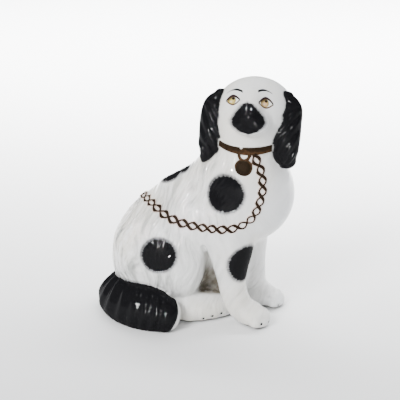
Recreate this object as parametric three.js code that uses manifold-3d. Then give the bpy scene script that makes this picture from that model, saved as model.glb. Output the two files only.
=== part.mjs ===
// A seated mantel spaniel, cast hollow in earthenware and glazed.
// The dog is modelled as one closed skin: rounded masses of clay joined with soft fillets,
// with the ears, tail, paws, collar, locket and chain worked on it in relief.
// Millimetres, +Z up, +X towards the dog's chest. The face and the display side look along -Y.
import * as THREE from "three";
import { mergeVertices } from "three/addons/utils/BufferGeometryUtils.js";
import Module from "manifold-3d";

// Driving dimensions
const HEIGHT = 246; // floor to crown
const LEG_SPREAD = 49; // between the two forelegs, middle to middle
const LEG_LINE = -34; // where the near foreleg stands, across the dog
const BODY_LINE = -6; // the middle of the trunk, across the dog
const HEAD_LINE = 54.5; // the middle of the head, along the dog
const EAR_FLUTES = 5; // ridges down one ear
const TAIL_FLUTES = 9; // ridges along the tail
const LINK_PITCH = 10.2; // from one crossing of the chain to the next
const LINK_HALF_WIDTH = 4.6;
const CHAIN_PLACES = 32; // equal steps of its path
const CHAIN_WIRE = 1.25; // radius of one strand
const COLLAR_WIDTH = 8.4;
const COLLAR_RISE = 1.3;
const LOCK_DEPTH = 0.45; // depth of the combed hair
const CELL = 2.4; // grid step of the skin before it is thinned
const FACES = 10300; // triangles kept

const FAR_LEG_LINE = LEG_LINE + LEG_SPREAD;
const DEGREE = Math.PI / 180;
const { lerp: mix, clamp } = THREE.MathUtils;
const ease = (from, to, value) => {
  const t = clamp((value - from) / (to - from), 0, 1);
  return t * t * (3 - 2 * t);
};
const wave = (turns) => Math.cos(2 * Math.PI * turns);

// Joins two distances with a fillet about as wide as k.
function join(a, b, k) {
  const h = Math.max(k - Math.abs(a - b), 0) / k;
  return Math.min(a, b) - (h * h * k) / 4;
}

// A form is { middle, reach, at(x, y, z) }: at() is the distance to its skin, less than 0 inside.
// A blob is an ellipsoid with half sizes along its own axes, turned by angles in degrees.
function blob([cx, cy, cz], [rx, ry, rz], angles = [0, 0, 0]) {
  const turned = new THREE.Matrix4().makeRotationFromEuler(
    new THREE.Euler(...angles.map((a) => a * DEGREE), "ZYX"));
  const m = turned.elements;
  const small = Math.min(rx, ry, rz);
  function at(x, y, z) {
    const dx = x - cx;
    const dy = y - cy;
    const dz = z - cz;
    const a = (m[0] * dx + m[1] * dy + m[2] * dz) / rx;
    const b = (m[4] * dx + m[5] * dy + m[6] * dz) / ry;
    const c = (m[8] * dx + m[9] * dy + m[10] * dz) / rz;
    const k0 = Math.sqrt(a * a + b * b + c * c);
    const k1 = Math.sqrt((a * a) / (rx * rx) + (b * b) / (ry * ry) + (c * c) / (rz * rz));
    return k1 < 1e-6 ? -small : (k0 * (k0 - 1)) / k1;
  }
  return { middle: [cx, cy, cz], reach: Math.max(rx, ry, rz), at };
}

// A lobe follows a smooth path through stations [x, y, z, breadth, thickness] and has round ends.
// facing(t) is the direction of its thickness, and relief(t, u, v) raises its skin:
// t runs from 0 to 1 along it, u and v from -1 to 1 across its breadth and thickness.
function lobe(stations, facing = () => [0, 1, 0], relief = null) {
  const last = stations.length - 1;
  const rows = stations.map((s) => (s.length === 4 ? [...s, s[3]] : s));
  const pieces = [];
  for (let i = 0; i < last; i++) {
    const p0 = rows[Math.max(0, i - 1)];
    const p1 = rows[i];
    const p2 = rows[i + 1];
    const p3 = rows[Math.min(last, i + 2)];
    pieces.push(p1.map((_, k) => [
      p1[k],
      0.5 * (p2[k] - p0[k]),
      0.5 * (2 * p0[k] - 5 * p1[k] + 4 * p2[k] - p3[k]),
      0.5 * (3 * p1[k] - p0[k] - 3 * p2[k] + p3[k]),
    ]));
  }
  const pieceAt = (t) => Math.min(last - 1, Math.floor(t));
  function value(t, k) {
    const i = pieceAt(t);
    const s = t - i;
    const c = pieces[i][k];
    return c[0] + s * (c[1] + s * (c[2] + s * c[3]));
  }
  function slope(t, k) {
    const i = pieceAt(t);
    const s = t - i;
    const c = pieces[i][k];
    return c[1] + s * (2 * c[2] + 3 * s * c[3]);
  }
  function bend(t, k) {
    const i = pieceAt(t);
    const c = pieces[i][k];
    return 2 * c[2] + 6 * (t - i) * c[3];
  }
  const steps = 4;
  const beads = [];
  for (let i = 0; i <= last * steps; i++) {
    beads.push([0, 1, 2].map((k) => value(i / steps, k)));
  }
  const middle = [0, 1, 2].map((k) => beads.reduce((sum, b) => sum + b[k], 0) / beads.length);
  const far = Math.max(...beads.map((b) => Math.hypot(b[0] - middle[0], b[1] - middle[1], b[2] - middle[2])));
  const reach = far + Math.max(...rows.map((s) => Math.max(s[3], s[4])));

  function nearest(x, y, z) {
    let best = Infinity;
    let found = 0;
    for (let i = 0; i < beads.length; i++) {
      const b = beads[i];
      const away = (x - b[0]) ** 2 + (y - b[1]) ** 2 + (z - b[2]) ** 2;
      if (away < best) {
        best = away;
        found = i;
      }
    }
    const low = Math.max(0, (found - 1) / steps);
    const high = Math.min(last, (found + 1) / steps);
    const target = [x, y, z];
    let t = found / steps;
    for (let round = 0; round < 3; round++) {
      let g = 0;
      let h = 0;
      for (let k = 0; k < 3; k++) {
        const miss = value(t, k) - target[k];
        const speed = slope(t, k);
        g += miss * speed;
        h += speed * speed + Math.max(0, miss * bend(t, k));
      }
      t = clamp(t - g / h, low, high);
    }
    return t;
  }

  function at(x, y, z) {
    const t = nearest(x, y, z);
    const along = [slope(t, 0), slope(t, 1), slope(t, 2)];
    const speed = Math.hypot(...along);
    for (let k = 0; k < 3; k++) along[k] /= speed;
    const thin = facing(t / last);
    const lean = thin[0] * along[0] + thin[1] * along[1] + thin[2] * along[2];
    const n = [thin[0] - lean * along[0], thin[1] - lean * along[1], thin[2] - lean * along[2]];
    const length = Math.hypot(...n);
    for (let k = 0; k < 3; k++) n[k] /= length;
    const bx = along[1] * n[2] - along[2] * n[1];
    const by = along[2] * n[0] - along[0] * n[2];
    const bz = along[0] * n[1] - along[1] * n[0];
    const dx = x - value(t, 0);
    const dy = y - value(t, 1);
    const dz = z - value(t, 2);
    const ra = value(t, 3);
    const rb = value(t, 4);
    const rc = Math.min(ra, rb);
    const u = (dx * bx + dy * by + dz * bz) / ra;
    const v = (dx * n[0] + dy * n[1] + dz * n[2]) / rb;
    const w = (dx * along[0] + dy * along[1] + dz * along[2]) / rc;
    const k0 = Math.hypot(u, v, w);
    const k1 = Math.hypot(u / ra, v / rb, w / rc);
    const away = k1 < 1e-6 ? -rc : (k0 * (k0 - 1)) / k1;
    return relief ? away - relief(t / last, u, v) : away;
  }
  return { middle, reach, at, value, slope, nearest, last };
}

// How far a point is from the ball that holds a form, at least.
function clearance(x, y, z, { middle, reach }) {
  return Math.sqrt((x - middle[0]) ** 2 + (y - middle[1]) ** 2 + (z - middle[2]) ** 2) - reach;
}
function added(d, x, y, z, form, k) {
  return clearance(x, y, z, form) > Math.max(0, d + k) ? d : join(d, form.at(x, y, z), k);
}
function carved(d, x, y, z, form, k) {
  return clearance(x, y, z, form) > k + 3 - d ? d : -join(-d, form.at(x, y, z), k);
}

// Trunk
const pelvis = blob([-41, BODY_LINE, 53], [47.5, 41, 59], [0, -9, 0]);
const loin = blob([-12, BODY_LINE, 91], [51, 39, 49.5], [0, -38, 0]);
const withers = lobe([[-22, BODY_LINE, 125, 17, 24], [0, BODY_LINE, 139, 17, 24], [12, BODY_LINE, 147, 17, 24]]);
const chest = blob([43.5, BODY_LINE - 1, 128], [52, 40, 49.5], [0, -25, 0]);
const throat = blob([44, BODY_LINE - 1, 156], [35, 33, 38], [0, -15, 0]);
const neck = blob([51.5, BODY_LINE - 1, 190], [29.5, 29.5, 40]);
const belly = blob([9, 2, 50], [41, 15, 62]);

// Hind quarters, the near ones full and the far ones plainer
const nearHaunch = blob([-37, -27, 70], [45.5, 29, 49], [0, -6, 0]);
const nearKnee = blob([-15, -33, 48], [22, 18, 24], [0, 10, 0]);
const farHaunch = blob([-35, 14, 66], [45, 25, 48], [0, -12, 0]);
const nearFoot = lobe([[-16, -31, 13.5, 15.5], [2, -28, 13, 15.5], [17, -20, 12, 14.5], [30, -10, 10, 12.5]]);
const farFoot = lobe([[-16, 20, 12, 14], [2, 20, 11, 13], [20, 14, 10, 12], [34, 8, 8.5, 10]]);

// Forelegs and the hollow between the near one and the haunch
const nearLeg = lobe([
  [28, LEG_LINE + 14, 116, 27], [35, LEG_LINE + 6, 84, 23], [36.5, LEG_LINE + 1, 61, 17.2],
  [37.8, LEG_LINE, 46, 13.8], [40.4, LEG_LINE, 32, 13], [45.4, LEG_LINE + 1, 20, 12.8],
  [53.5, LEG_LINE + 2.5, 12.5, 11.5],
]);
const nearPaw = lobe([
  [55, LEG_LINE + 3, 11, 11], [60, LEG_LINE + 0.5, 10, 12], [65.5, LEG_LINE - 2, 8.5, 10],
]);
const farLeg = lobe([
  [45.5, FAR_LEG_LINE - 11, 112, 27], [50.5, FAR_LEG_LINE - 3, 80, 17.5], [51.5, FAR_LEG_LINE, 57, 13.9],
  [52, FAR_LEG_LINE + 0.5, 38, 13.2], [53, FAR_LEG_LINE + 0.5, 24, 13.5],
  [58, FAR_LEG_LINE + 0.5, 13.5, 13],
]);
const farPaw = lobe([
  [57, FAR_LEG_LINE + 1, 11, 13], [67, FAR_LEG_LINE + 1, 10, 11.6], [74, FAR_LEG_LINE + 1, 8, 9.5],
]);
const hollow = lobe([
  [11, -42, 82, 1, 10], [14, -38, 64, 4, 17], [16.5, -35, 48, 7, 20], [17, -34, 36, 9.5, 20],
  [17.5, -34, 28, 9, 20],
]);

// Toes: [x, y, z, size, height in sizes]
const toes = [
  [-4, -36, 12, 8.5, 1.5], [7, -32.5, 11.5, 8, 1.45], [17, -27, 11, 7.5, 1.4], [25.5, -20.5, 9.5, 7, 1.3],
  [63.5, LEG_LINE - 8.5, 8, 6.4, 1.15], [68.5, LEG_LINE - 3.5, 8.5, 6.6, 1.15],
  [69, LEG_LINE + 3, 9, 6.6, 1.15],
  [75, FAR_LEG_LINE - 5.5, 6.5, 6.4, 1.1], [78.5, FAR_LEG_LINE + 0.5, 6.8, 6.6, 1.1],
  [76.5, FAR_LEG_LINE + 7, 6.8, 6.5, 1.1],
].map(([x, y, z, size, tall]) => blob([x, y, z], [size * 1.1, size * 1.15, size * tall]));

// Head
const mirrored = (make) => [-1, 1].map((side) => make(side));
const skull = blob([HEAD_LINE, BODY_LINE + 1, HEIGHT - 33.2], [38.5, 33, 33]);
const cheeks = blob([52.5, -15, 199], [29.5, 25, 25]);
const noseBridge = lobe([[54, -26, 231, 9, 7], [54.5, -40, 226, 10, 8], [54.5, -49, 219.5, 9.5, 7.5]]);
const flews = mirrored((side) => blob([54.3 + side * 7.8, -42, 212.5], [10.8, 15, 10], [0, side * 16, 0]));
const chin = blob([53.8, -41.5, 205.8], [12, 11.5, 7]);
const nose = blob([54.5, -53.5, 219.5], [7, 4.4, 4.6]);
const eyeHollows = mirrored((side) => blob([53 + side * 15, -43, 226], [9, 6, 6.5]));

// The flutes of an ear run steeply, curl outwards at its root, and die out at its rim.
function earFlutes(slant) {
  return (t, u) => {
    const fade = ease(1.05, 0.6, Math.abs(u)) * ease(0.02, 0.14, t) * ease(1, 0.85, t);
    const curl = 1.4 * slant * ease(0.28, 0.08, t);
    return 0.9 * fade * wave(EAR_FLUTES * t + (slant - curl) * u);
  };
}
const leftEar = lobe([
  [22, -12, 229, 6, 6], [18, -14.5, 220, 11.4, 9.5], [16.2, -17, 207, 13, 10.5],
  [16, -21, 190, 13.3, 10.5], [14.6, -22.5, 178, 12.4, 9.5], [11, -22, 169.3, 7.6, 6.5],
], undefined, earFlutes(-1.4));
const rightEar = lobe([
  [86, -12, 229, 6.5, 6], [89, -14.5, 219, 11.8, 9.5], [87.4, -18.5, 206, 13.8, 11.5],
  [85.6, -23, 190, 14.8, 12], [86.8, -23.2, 177, 12.4, 11], [88.6, -21.5, 169, 8.6, 7.5],
], undefined, earFlutes(1.4));

// The tail is a thick brush swept round the rump on to the near side, leaning in at its top.
function tailFacing(t) {
  const turn = mix(170, 272, t) * DEGREE;
  const lean = mix(46, 14, ease(0, 0.8, t)) * DEGREE;
  return [Math.cos(turn) * Math.cos(lean), Math.sin(turn) * Math.cos(lean), Math.sin(lean)];
}
function tailFlutes(t, u) {
  return ease(1.02, 0.6, Math.abs(u)) * ease(0.02, 0.1, t) * wave(TAIL_FLUTES * (t + 0.05 * u * u));
}
const tail = lobe([
  [-79, 16, 19, 18, 12], [-86.5, -10, 18, 21.5, 13.5], [-75, -36, 19.5, 23, 15],
  [-55, -52, 20, 23.5, 15.5], [-37, -59, 19, 22, 14.5], [-22.5, -61.5, 16.5, 18, 13],
], tailFacing, tailFlutes);

// The dog before its relief: trunk, limbs and haunches.
function coat(x, y, z) {
  let d = join(pelvis.at(x, y, z), loin.at(x, y, z), 26);
  d = added(d, x, y, z, chest, 24);
  d = added(d, x, y, z, withers, 10);
  d = added(d, x, y, z, throat, 20);
  d = added(d, x, y, z, neck, 16);
  d = added(d, x, y, z, farHaunch, 8);
  d = added(d, x, y, z, farLeg, 10);
  d = added(d, x, y, z, nearLeg, 10);
  d = added(d, x, y, z, nearHaunch, 5);
  d = carved(d, x, y, z, hollow, 4);
  d = added(d, x, y, z, belly, 5);
  d = added(d, x, y, z, nearLeg, 2);
  d = added(d, x, y, z, nearHaunch, 3);
  return added(d, x, y, z, nearKnee, 6);
}

// Finds the skin along a line from one point to another by halving.
function onCoat(from, to) {
  let out = new THREE.Vector3(...from);
  let inside = new THREE.Vector3(...to);
  for (let i = 0; i < 24; i++) {
    const middle = out.clone().lerp(inside, 0.5);
    if (coat(middle.x, middle.y, middle.z) > 0) out = middle;
    else inside = middle;
  }
  return inside.toArray();
}

// The chain hangs from the collar over the shoulder and goes up over the back.
// These are its places as seen from the front, [x, z], and then as seen from above, [x, y].
const chainDrop = [
  [58.4, 177.6], [62.6, 169.5], [66, 160.5], [67.4, 151], [67.4, 143], [65.7, 135.3], [62.3, 124.3],
  [56, 114.5], [45.5, 108], [33.1, 105.6], [22, 104.9], [11, 104.3], [1, 104.9], [-8.4, 106.6],
  [-18, 109.4], [-26, 112.8], [-33, 116.4],
];
const chainOver = [[-41, -31.5], [-48, -22.5], [-54, -12], [-57.5, 0], [-58.5, 11]];
const chainCurve = new THREE.CatmullRomCurve3([
  ...chainDrop.map(([x, z]) => onCoat([x, -90, z], [x, -10, z])),
  ...chainOver.map(([x, y]) => onCoat([x, y, 190], [x, y, 80])),
].map((p) => new THREE.Vector3(...p)));
const LINKS = Math.round(chainCurve.getLength() / LINK_PITCH);

// The outward direction of the coat at a place.
function outward({ x, y, z }) {
  const e = 0.5;
  const here = coat(x, y, z);
  const up = new THREE.Vector3(coat(x + e, y, z) - here, coat(x, y + e, z) - here, coat(x, y, z + e) - here);
  return up.normalize();
}

// The curve is divided into equal steps, so that the links are equally long.
const chainPath = chainCurve.getSpacedPoints(CHAIN_PLACES);
const chainUps = chainPath.map(outward);
chainPath.forEach((p, i) => p.addScaledVector(chainUps[i], -coat(p.x, p.y, p.z)));
const chainBand = lobe(chainPath.map((p) => [p.x, p.y, p.z, LINK_HALF_WIDTH + 1, 2]));

// Distance to the two strands, which cross once in every link.
function chainAt(x, y, z) {
  const t = chainBand.nearest(x, y, z);
  const station = Math.min(chainBand.last - 1, Math.floor(t));
  const up = chainUps[station].clone().lerp(chainUps[station + 1], t - station).normalize();
  const along = new THREE.Vector3(...[0, 1, 2].map((k) => chainBand.slope(t, k))).normalize();
  const across = along.clone().cross(up).normalize();
  const offset = new THREE.Vector3(...[x, y, z].map((v, k) => v - chainBand.value(t, k)));
  const side = offset.dot(across);
  const swing = Math.sin((Math.PI * LINKS * t) / chainBand.last) * (LINK_HALF_WIDTH - CHAIN_WIRE);
  const strand = Math.min(Math.abs(side - swing), Math.abs(side + swing));
  return Math.hypot(strand * 0.85, offset.dot(up), offset.dot(along)) - CHAIN_WIRE;
}
const chain = { middle: chainBand.middle, reach: chainBand.reach, at: chainAt };

// The collar is a band in a plane that drops towards the throat.
function collarRise(x, y, z) {
  const plane = 184 - 0.03 * (x - 52) + 0.28 * (Math.min(y, -14) + 37) + 0.1 * Math.max(0, y + 14);
  const off = Math.abs(z - plane);
  return COLLAR_RISE * ease(COLLAR_WIDTH / 2 + 0.6, COLLAR_WIDTH / 2 - 0.5, off) * ease(8, 14, x);
}
const LOCKET = [48.8, -41, 166.6];
const locket = blob(LOCKET, [8.6, 2.9, 8.9], [-14, 0, 0]);
const shackle = {
  middle: [LOCKET[0] + 0.6, LOCKET[1] + 0.8, LOCKET[2] + 11.8],
  reach: 8,
  at(x, y, z) {
    const [cx, cy, cz] = this.middle;
    return Math.hypot(Math.hypot(x - cx, z - cz) - 4.9, y - cy) - 1.2;
  },
};

// Broad combed locks, strongest on the rump and back of the near side.
function locks(x, y, z) {
  const r = Math.hypot(x + 32, z - 70);
  const a = Math.atan2(z - 70, x + 32);
  const comb = Math.sin(r / 2.1 + 2.2 * Math.sin(5 * a + r / 14)) * Math.sin(7 * a + r / 9);
  const place = ease(14, -8, x) * ease(24, 42, z) * ease(14, 26, r) * ease(16, -6, y);
  return LOCK_DEPTH * comb * place;
}

function dog(x, y, z) {
  let d = coat(x, y, z);
  d -= locks(x, y, z) * ease(8, 3, Math.abs(d));
  d = added(d, x, y, z, nearPaw, 6);
  d = added(d, x, y, z, farPaw, 6);
  d = added(d, x, y, z, nearFoot, 4);
  d = added(d, x, y, z, farFoot, 6);
  for (const toe of toes) d = added(d, x, y, z, toe, 4);
  if (d < 6 && d > -6) d = added(d, x, y, z, chain, 0.8);
  d = added(d, x, y, z, skull, 9);
  d = added(d, x, y, z, cheeks, 12);
  if (z > 160 && z < 210) d -= collarRise(x, y, z);
  d = added(d, x, y, z, locket, 1);
  d = added(d, x, y, z, shackle, 1);
  for (const dip of eyeHollows) d = carved(d, x, y, z, dip, 8);
  d = added(d, x, y, z, noseBridge, 9);
  for (const flew of flews) d = added(d, x, y, z, flew, 5);
  d = added(d, x, y, z, chin, 2.5);
  d = added(d, x, y, z, nose, 2.5);
  d = added(d, x, y, z, leftEar, 2.5);
  d = added(d, x, y, z, rightEar, 2.5);
  return added(d, x, y, z, tail, 2.5);
}

// Surface
// The skin is walked over a grid of cubes, each cut into six tetrahedra about one diagonal,
// which leaves no doubtful case, so the skin always closes.
const LOW = [-118, -92, -9];
const HIGH = [112, 60, 256];
const FOOT_DEPTH = 5; // how far the skin runs on below the floor, to be cut off flat
const NEAR_FLOOR = 0.7;
const TETRAHEDRA = [[0, 1, 3, 7], [0, 3, 2, 7], [0, 2, 6, 7], [0, 6, 4, 7], [0, 4, 5, 7], [0, 5, 1, 7]];
const BLOCK = 5; // cubes on a side of the blocks that are skipped where no skin can be
const standing = (x, y, z) => Math.max(dog(x, y, Math.max(z, 0)), -z - FOOT_DEPTH);

function skin(field) {
  const size = [0, 1, 2].map((k) => Math.ceil((HIGH[k] - LOW[k]) / CELL) + 1);
  const rowStep = size[0];
  const layerStep = size[0] * size[1];
  const value = new Float64Array(layerStep * size[2]);
  const place = (i) => [
    LOW[0] + (i % rowStep) * CELL,
    LOW[1] + (Math.floor(i / rowStep) % size[1]) * CELL,
    LOW[2] + Math.floor(i / layerStep) * CELL,
  ];
  const half = (BLOCK * CELL) / 2;
  function fillBlock(starts) {
    const centre = starts.map((s, k) => LOW[k] + s * CELL + half - CELL / 2);
    const depth = field(...centre);
    const empty = Math.abs(depth) > half * 2.6;
    const ends = starts.map((s, k) => Math.min(size[k], s + BLOCK));
    for (let k = starts[2]; k < ends[2]; k++) {
      for (let j = starts[1]; j < ends[1]; j++) {
        for (let i = starts[0]; i < ends[0]; i++) {
          const at = i + j * rowStep + k * layerStep;
          value[at] = empty ? depth : field(...place(at));
        }
      }
    }
  }
  for (let k = 0; k < size[2]; k += BLOCK) {
    for (let j = 0; j < size[1]; j += BLOCK) {
      for (let i = 0; i < size[0]; i += BLOCK) fillBlock([i, j, k]);
    }
  }

  const points = [];
  const faces = [];
  const known = new Map();
  function crossing(first, second) {
    const [a, b] = first < second ? [first, second] : [second, first];
    const key = a * value.length + b;
    if (known.has(key)) return known.get(key);
    const p = place(a);
    const q = place(b);
    let share = value[a] / (value[a] - value[b]);
    const guess = p.map((v, k) => mix(v, q[k], share));
    const found = field(...guess);
    if (found < 0 === value[a] < 0) share += (1 - share) * (found / (found - value[b]));
    else share *= value[a] / (value[a] - found);
    share = clamp(share, 0.02, 0.98);
    known.set(key, points.length / 3);
    points.push(...p.map((v, k) => mix(v, q[k], share)));
    return known.get(key);
  }
  function addFace(a, b, c, out) {
    const corner = (i, k) => points[3 * i + k];
    const u = [0, 1, 2].map((k) => corner(b, k) - corner(a, k));
    const v = [0, 1, 2].map((k) => corner(c, k) - corner(a, k));
    const turn = (u[1] * v[2] - u[2] * v[1]) * out[0] + (u[2] * v[0] - u[0] * v[2]) * out[1]
      + (u[0] * v[1] - u[1] * v[0]) * out[2];
    faces.push(...(turn >= 0 ? [a, b, c] : [a, c, b]));
  }
  function cutTetrahedron(corners) {
    const inner = corners.filter((c) => value[c] < 0);
    const outer = corners.filter((c) => value[c] >= 0);
    if (inner.length === 0 || outer.length === 0) return;
    const average = (list, k) => list.reduce((sum, c) => sum + place(c)[k], 0) / list.length;
    const out = [0, 1, 2].map((k) => average(outer, k) - average(inner, k));
    if (inner.length === 2) {
      const [a, b] = outer.map((c) => crossing(inner[0], c));
      const [d, e] = outer.map((c) => crossing(inner[1], c));
      addFace(a, b, e, out);
      addFace(a, e, d, out);
      return;
    }
    const [lone, others] = inner.length === 1 ? [inner[0], outer] : [outer[0], inner];
    addFace(...others.map((c) => crossing(lone, c)), out);
  }
  for (let k = 0; k < size[2] - 1; k++) {
    for (let j = 0; j < size[1] - 1; j++) {
      for (let i = 0; i < size[0] - 1; i++) {
        const start = i + j * rowStep + k * layerStep;
        const cube = [0, 1, 2, 3, 4, 5, 6, 7].map(
          (c) => start + (c & 1) + ((c >> 1) & 1) * rowStep + (c >> 2) * layerStep);
        const inside = cube.filter((c) => value[c] < 0).length;
        if (inside > 0 && inside < 8) {
          for (const t of TETRAHEDRA) cutTetrahedron(t.map((c) => cube[c]));
        }
      }
    }
  }
  return { points, faces };
}

// Slides the points along the skin until the faces are even, then puts them back on the skin.
const SLIDE = 0.6; // share of the way to the middle of its neighbours that a point goes
const SLIDE_ROUNDS = 4;
const REACH = 0.4; // furthest that a point is put back at once, so that none leaps out of a crease
function evened({ points, faces }, field) {
  const count = points.length / 3;
  const normals = new Float64Array(points.length);
  const sums = new Float64Array(points.length);
  const shares = new Int32Array(count);
  function gather() {
    normals.fill(0);
    sums.fill(0);
    shares.fill(0);
    for (let i = 0; i < faces.length; i += 3) {
      const [a, b, c] = [faces[i], faces[i + 1], faces[i + 2]];
      const u = [0, 1, 2].map((k) => points[3 * b + k] - points[3 * a + k]);
      const v = [0, 1, 2].map((k) => points[3 * c + k] - points[3 * a + k]);
      const n = [u[1] * v[2] - u[2] * v[1], u[2] * v[0] - u[0] * v[2], u[0] * v[1] - u[1] * v[0]];
      for (const [at, next] of [[a, b], [b, c], [c, a]]) {
        shares[at] += 1;
        for (let k = 0; k < 3; k++) {
          normals[3 * at + k] += n[k];
          sums[3 * at + k] += points[3 * next + k];
        }
      }
    }
  }
  function slide(i) {
    const n = [0, 1, 2].map((k) => normals[3 * i + k]);
    const square = n[0] * n[0] + n[1] * n[1] + n[2] * n[2] || 1;
    const shift = [0, 1, 2].map((k) => sums[3 * i + k] / shares[i] - points[3 * i + k]);
    const lift = (shift[0] * n[0] + shift[1] * n[1] + shift[2] * n[2]) / square;
    for (let k = 0; k < 3; k++) points[3 * i + k] += SLIDE * (shift[k] - lift * n[k]);
  }
  function putBack(i) {
    const e = 0.05;
    const [x, y, z] = [points[3 * i], points[3 * i + 1], points[3 * i + 2]];
    const d = field(x, y, z);
    const g = [field(x + e, y, z) - d, field(x, y + e, z) - d, field(x, y, z + e) - d].map((v) => v / e);
    const steep = Math.max(g[0] * g[0] + g[1] * g[1] + g[2] * g[2], 0.3);
    const step = clamp(d / steep, -REACH, REACH);
    for (let k = 0; k < 3; k++) points[3 * i + k] -= step * g[k];
  }
  for (let round = 0; round < SLIDE_ROUNDS; round++) {
    gather();
    for (let i = 0; i < count; i++) slide(i);
    if (round % 2 === 1) {
      for (let i = 0; i < count; i++) putBack(i);
    }
  }
  return { points, faces };
}

// Thinning
// Edges are folded away in order of how little the skin moves, until the wanted number of faces is left.
const KEEP_SHAPE = 0.0012; // how much a long edge costs, which keeps the faces even
const MIN_EVENNESS = 0.12; // 1 is an equilateral face
// Detail counts for more on the face, collar, chain and ears than on the plain far side.
function care(x, y, z) {
  const front = ease(8, -12, y);
  const head = ease(160, 176, z) * ease(2, -8, y);
  return mix(0.35, 1, front) * (1 + 2.5 * head) * (z < 0 ? 0.2 : 1);
}

class Queue {
  items = [];
  push(item) {
    const { items } = this;
    let i = items.push(item) - 1;
    while (i > 0) {
      const parent = (i - 1) >> 1;
      if (items[parent].cost <= item.cost) break;
      items[i] = items[parent];
      i = parent;
    }
    items[i] = item;
  }
  pop() {
    const { items } = this;
    const top = items[0];
    const item = items.pop();
    if (items.length === 0) return top;
    let i = 0;
    for (;;) {
      let child = 2 * i + 1;
      if (child >= items.length) break;
      if (child + 1 < items.length && items[child + 1].cost < items[child].cost) child++;
      if (items[child].cost >= item.cost) break;
      items[i] = items[child];
      i = child;
    }
    items[i] = item;
    return top;
  }
}

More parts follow.
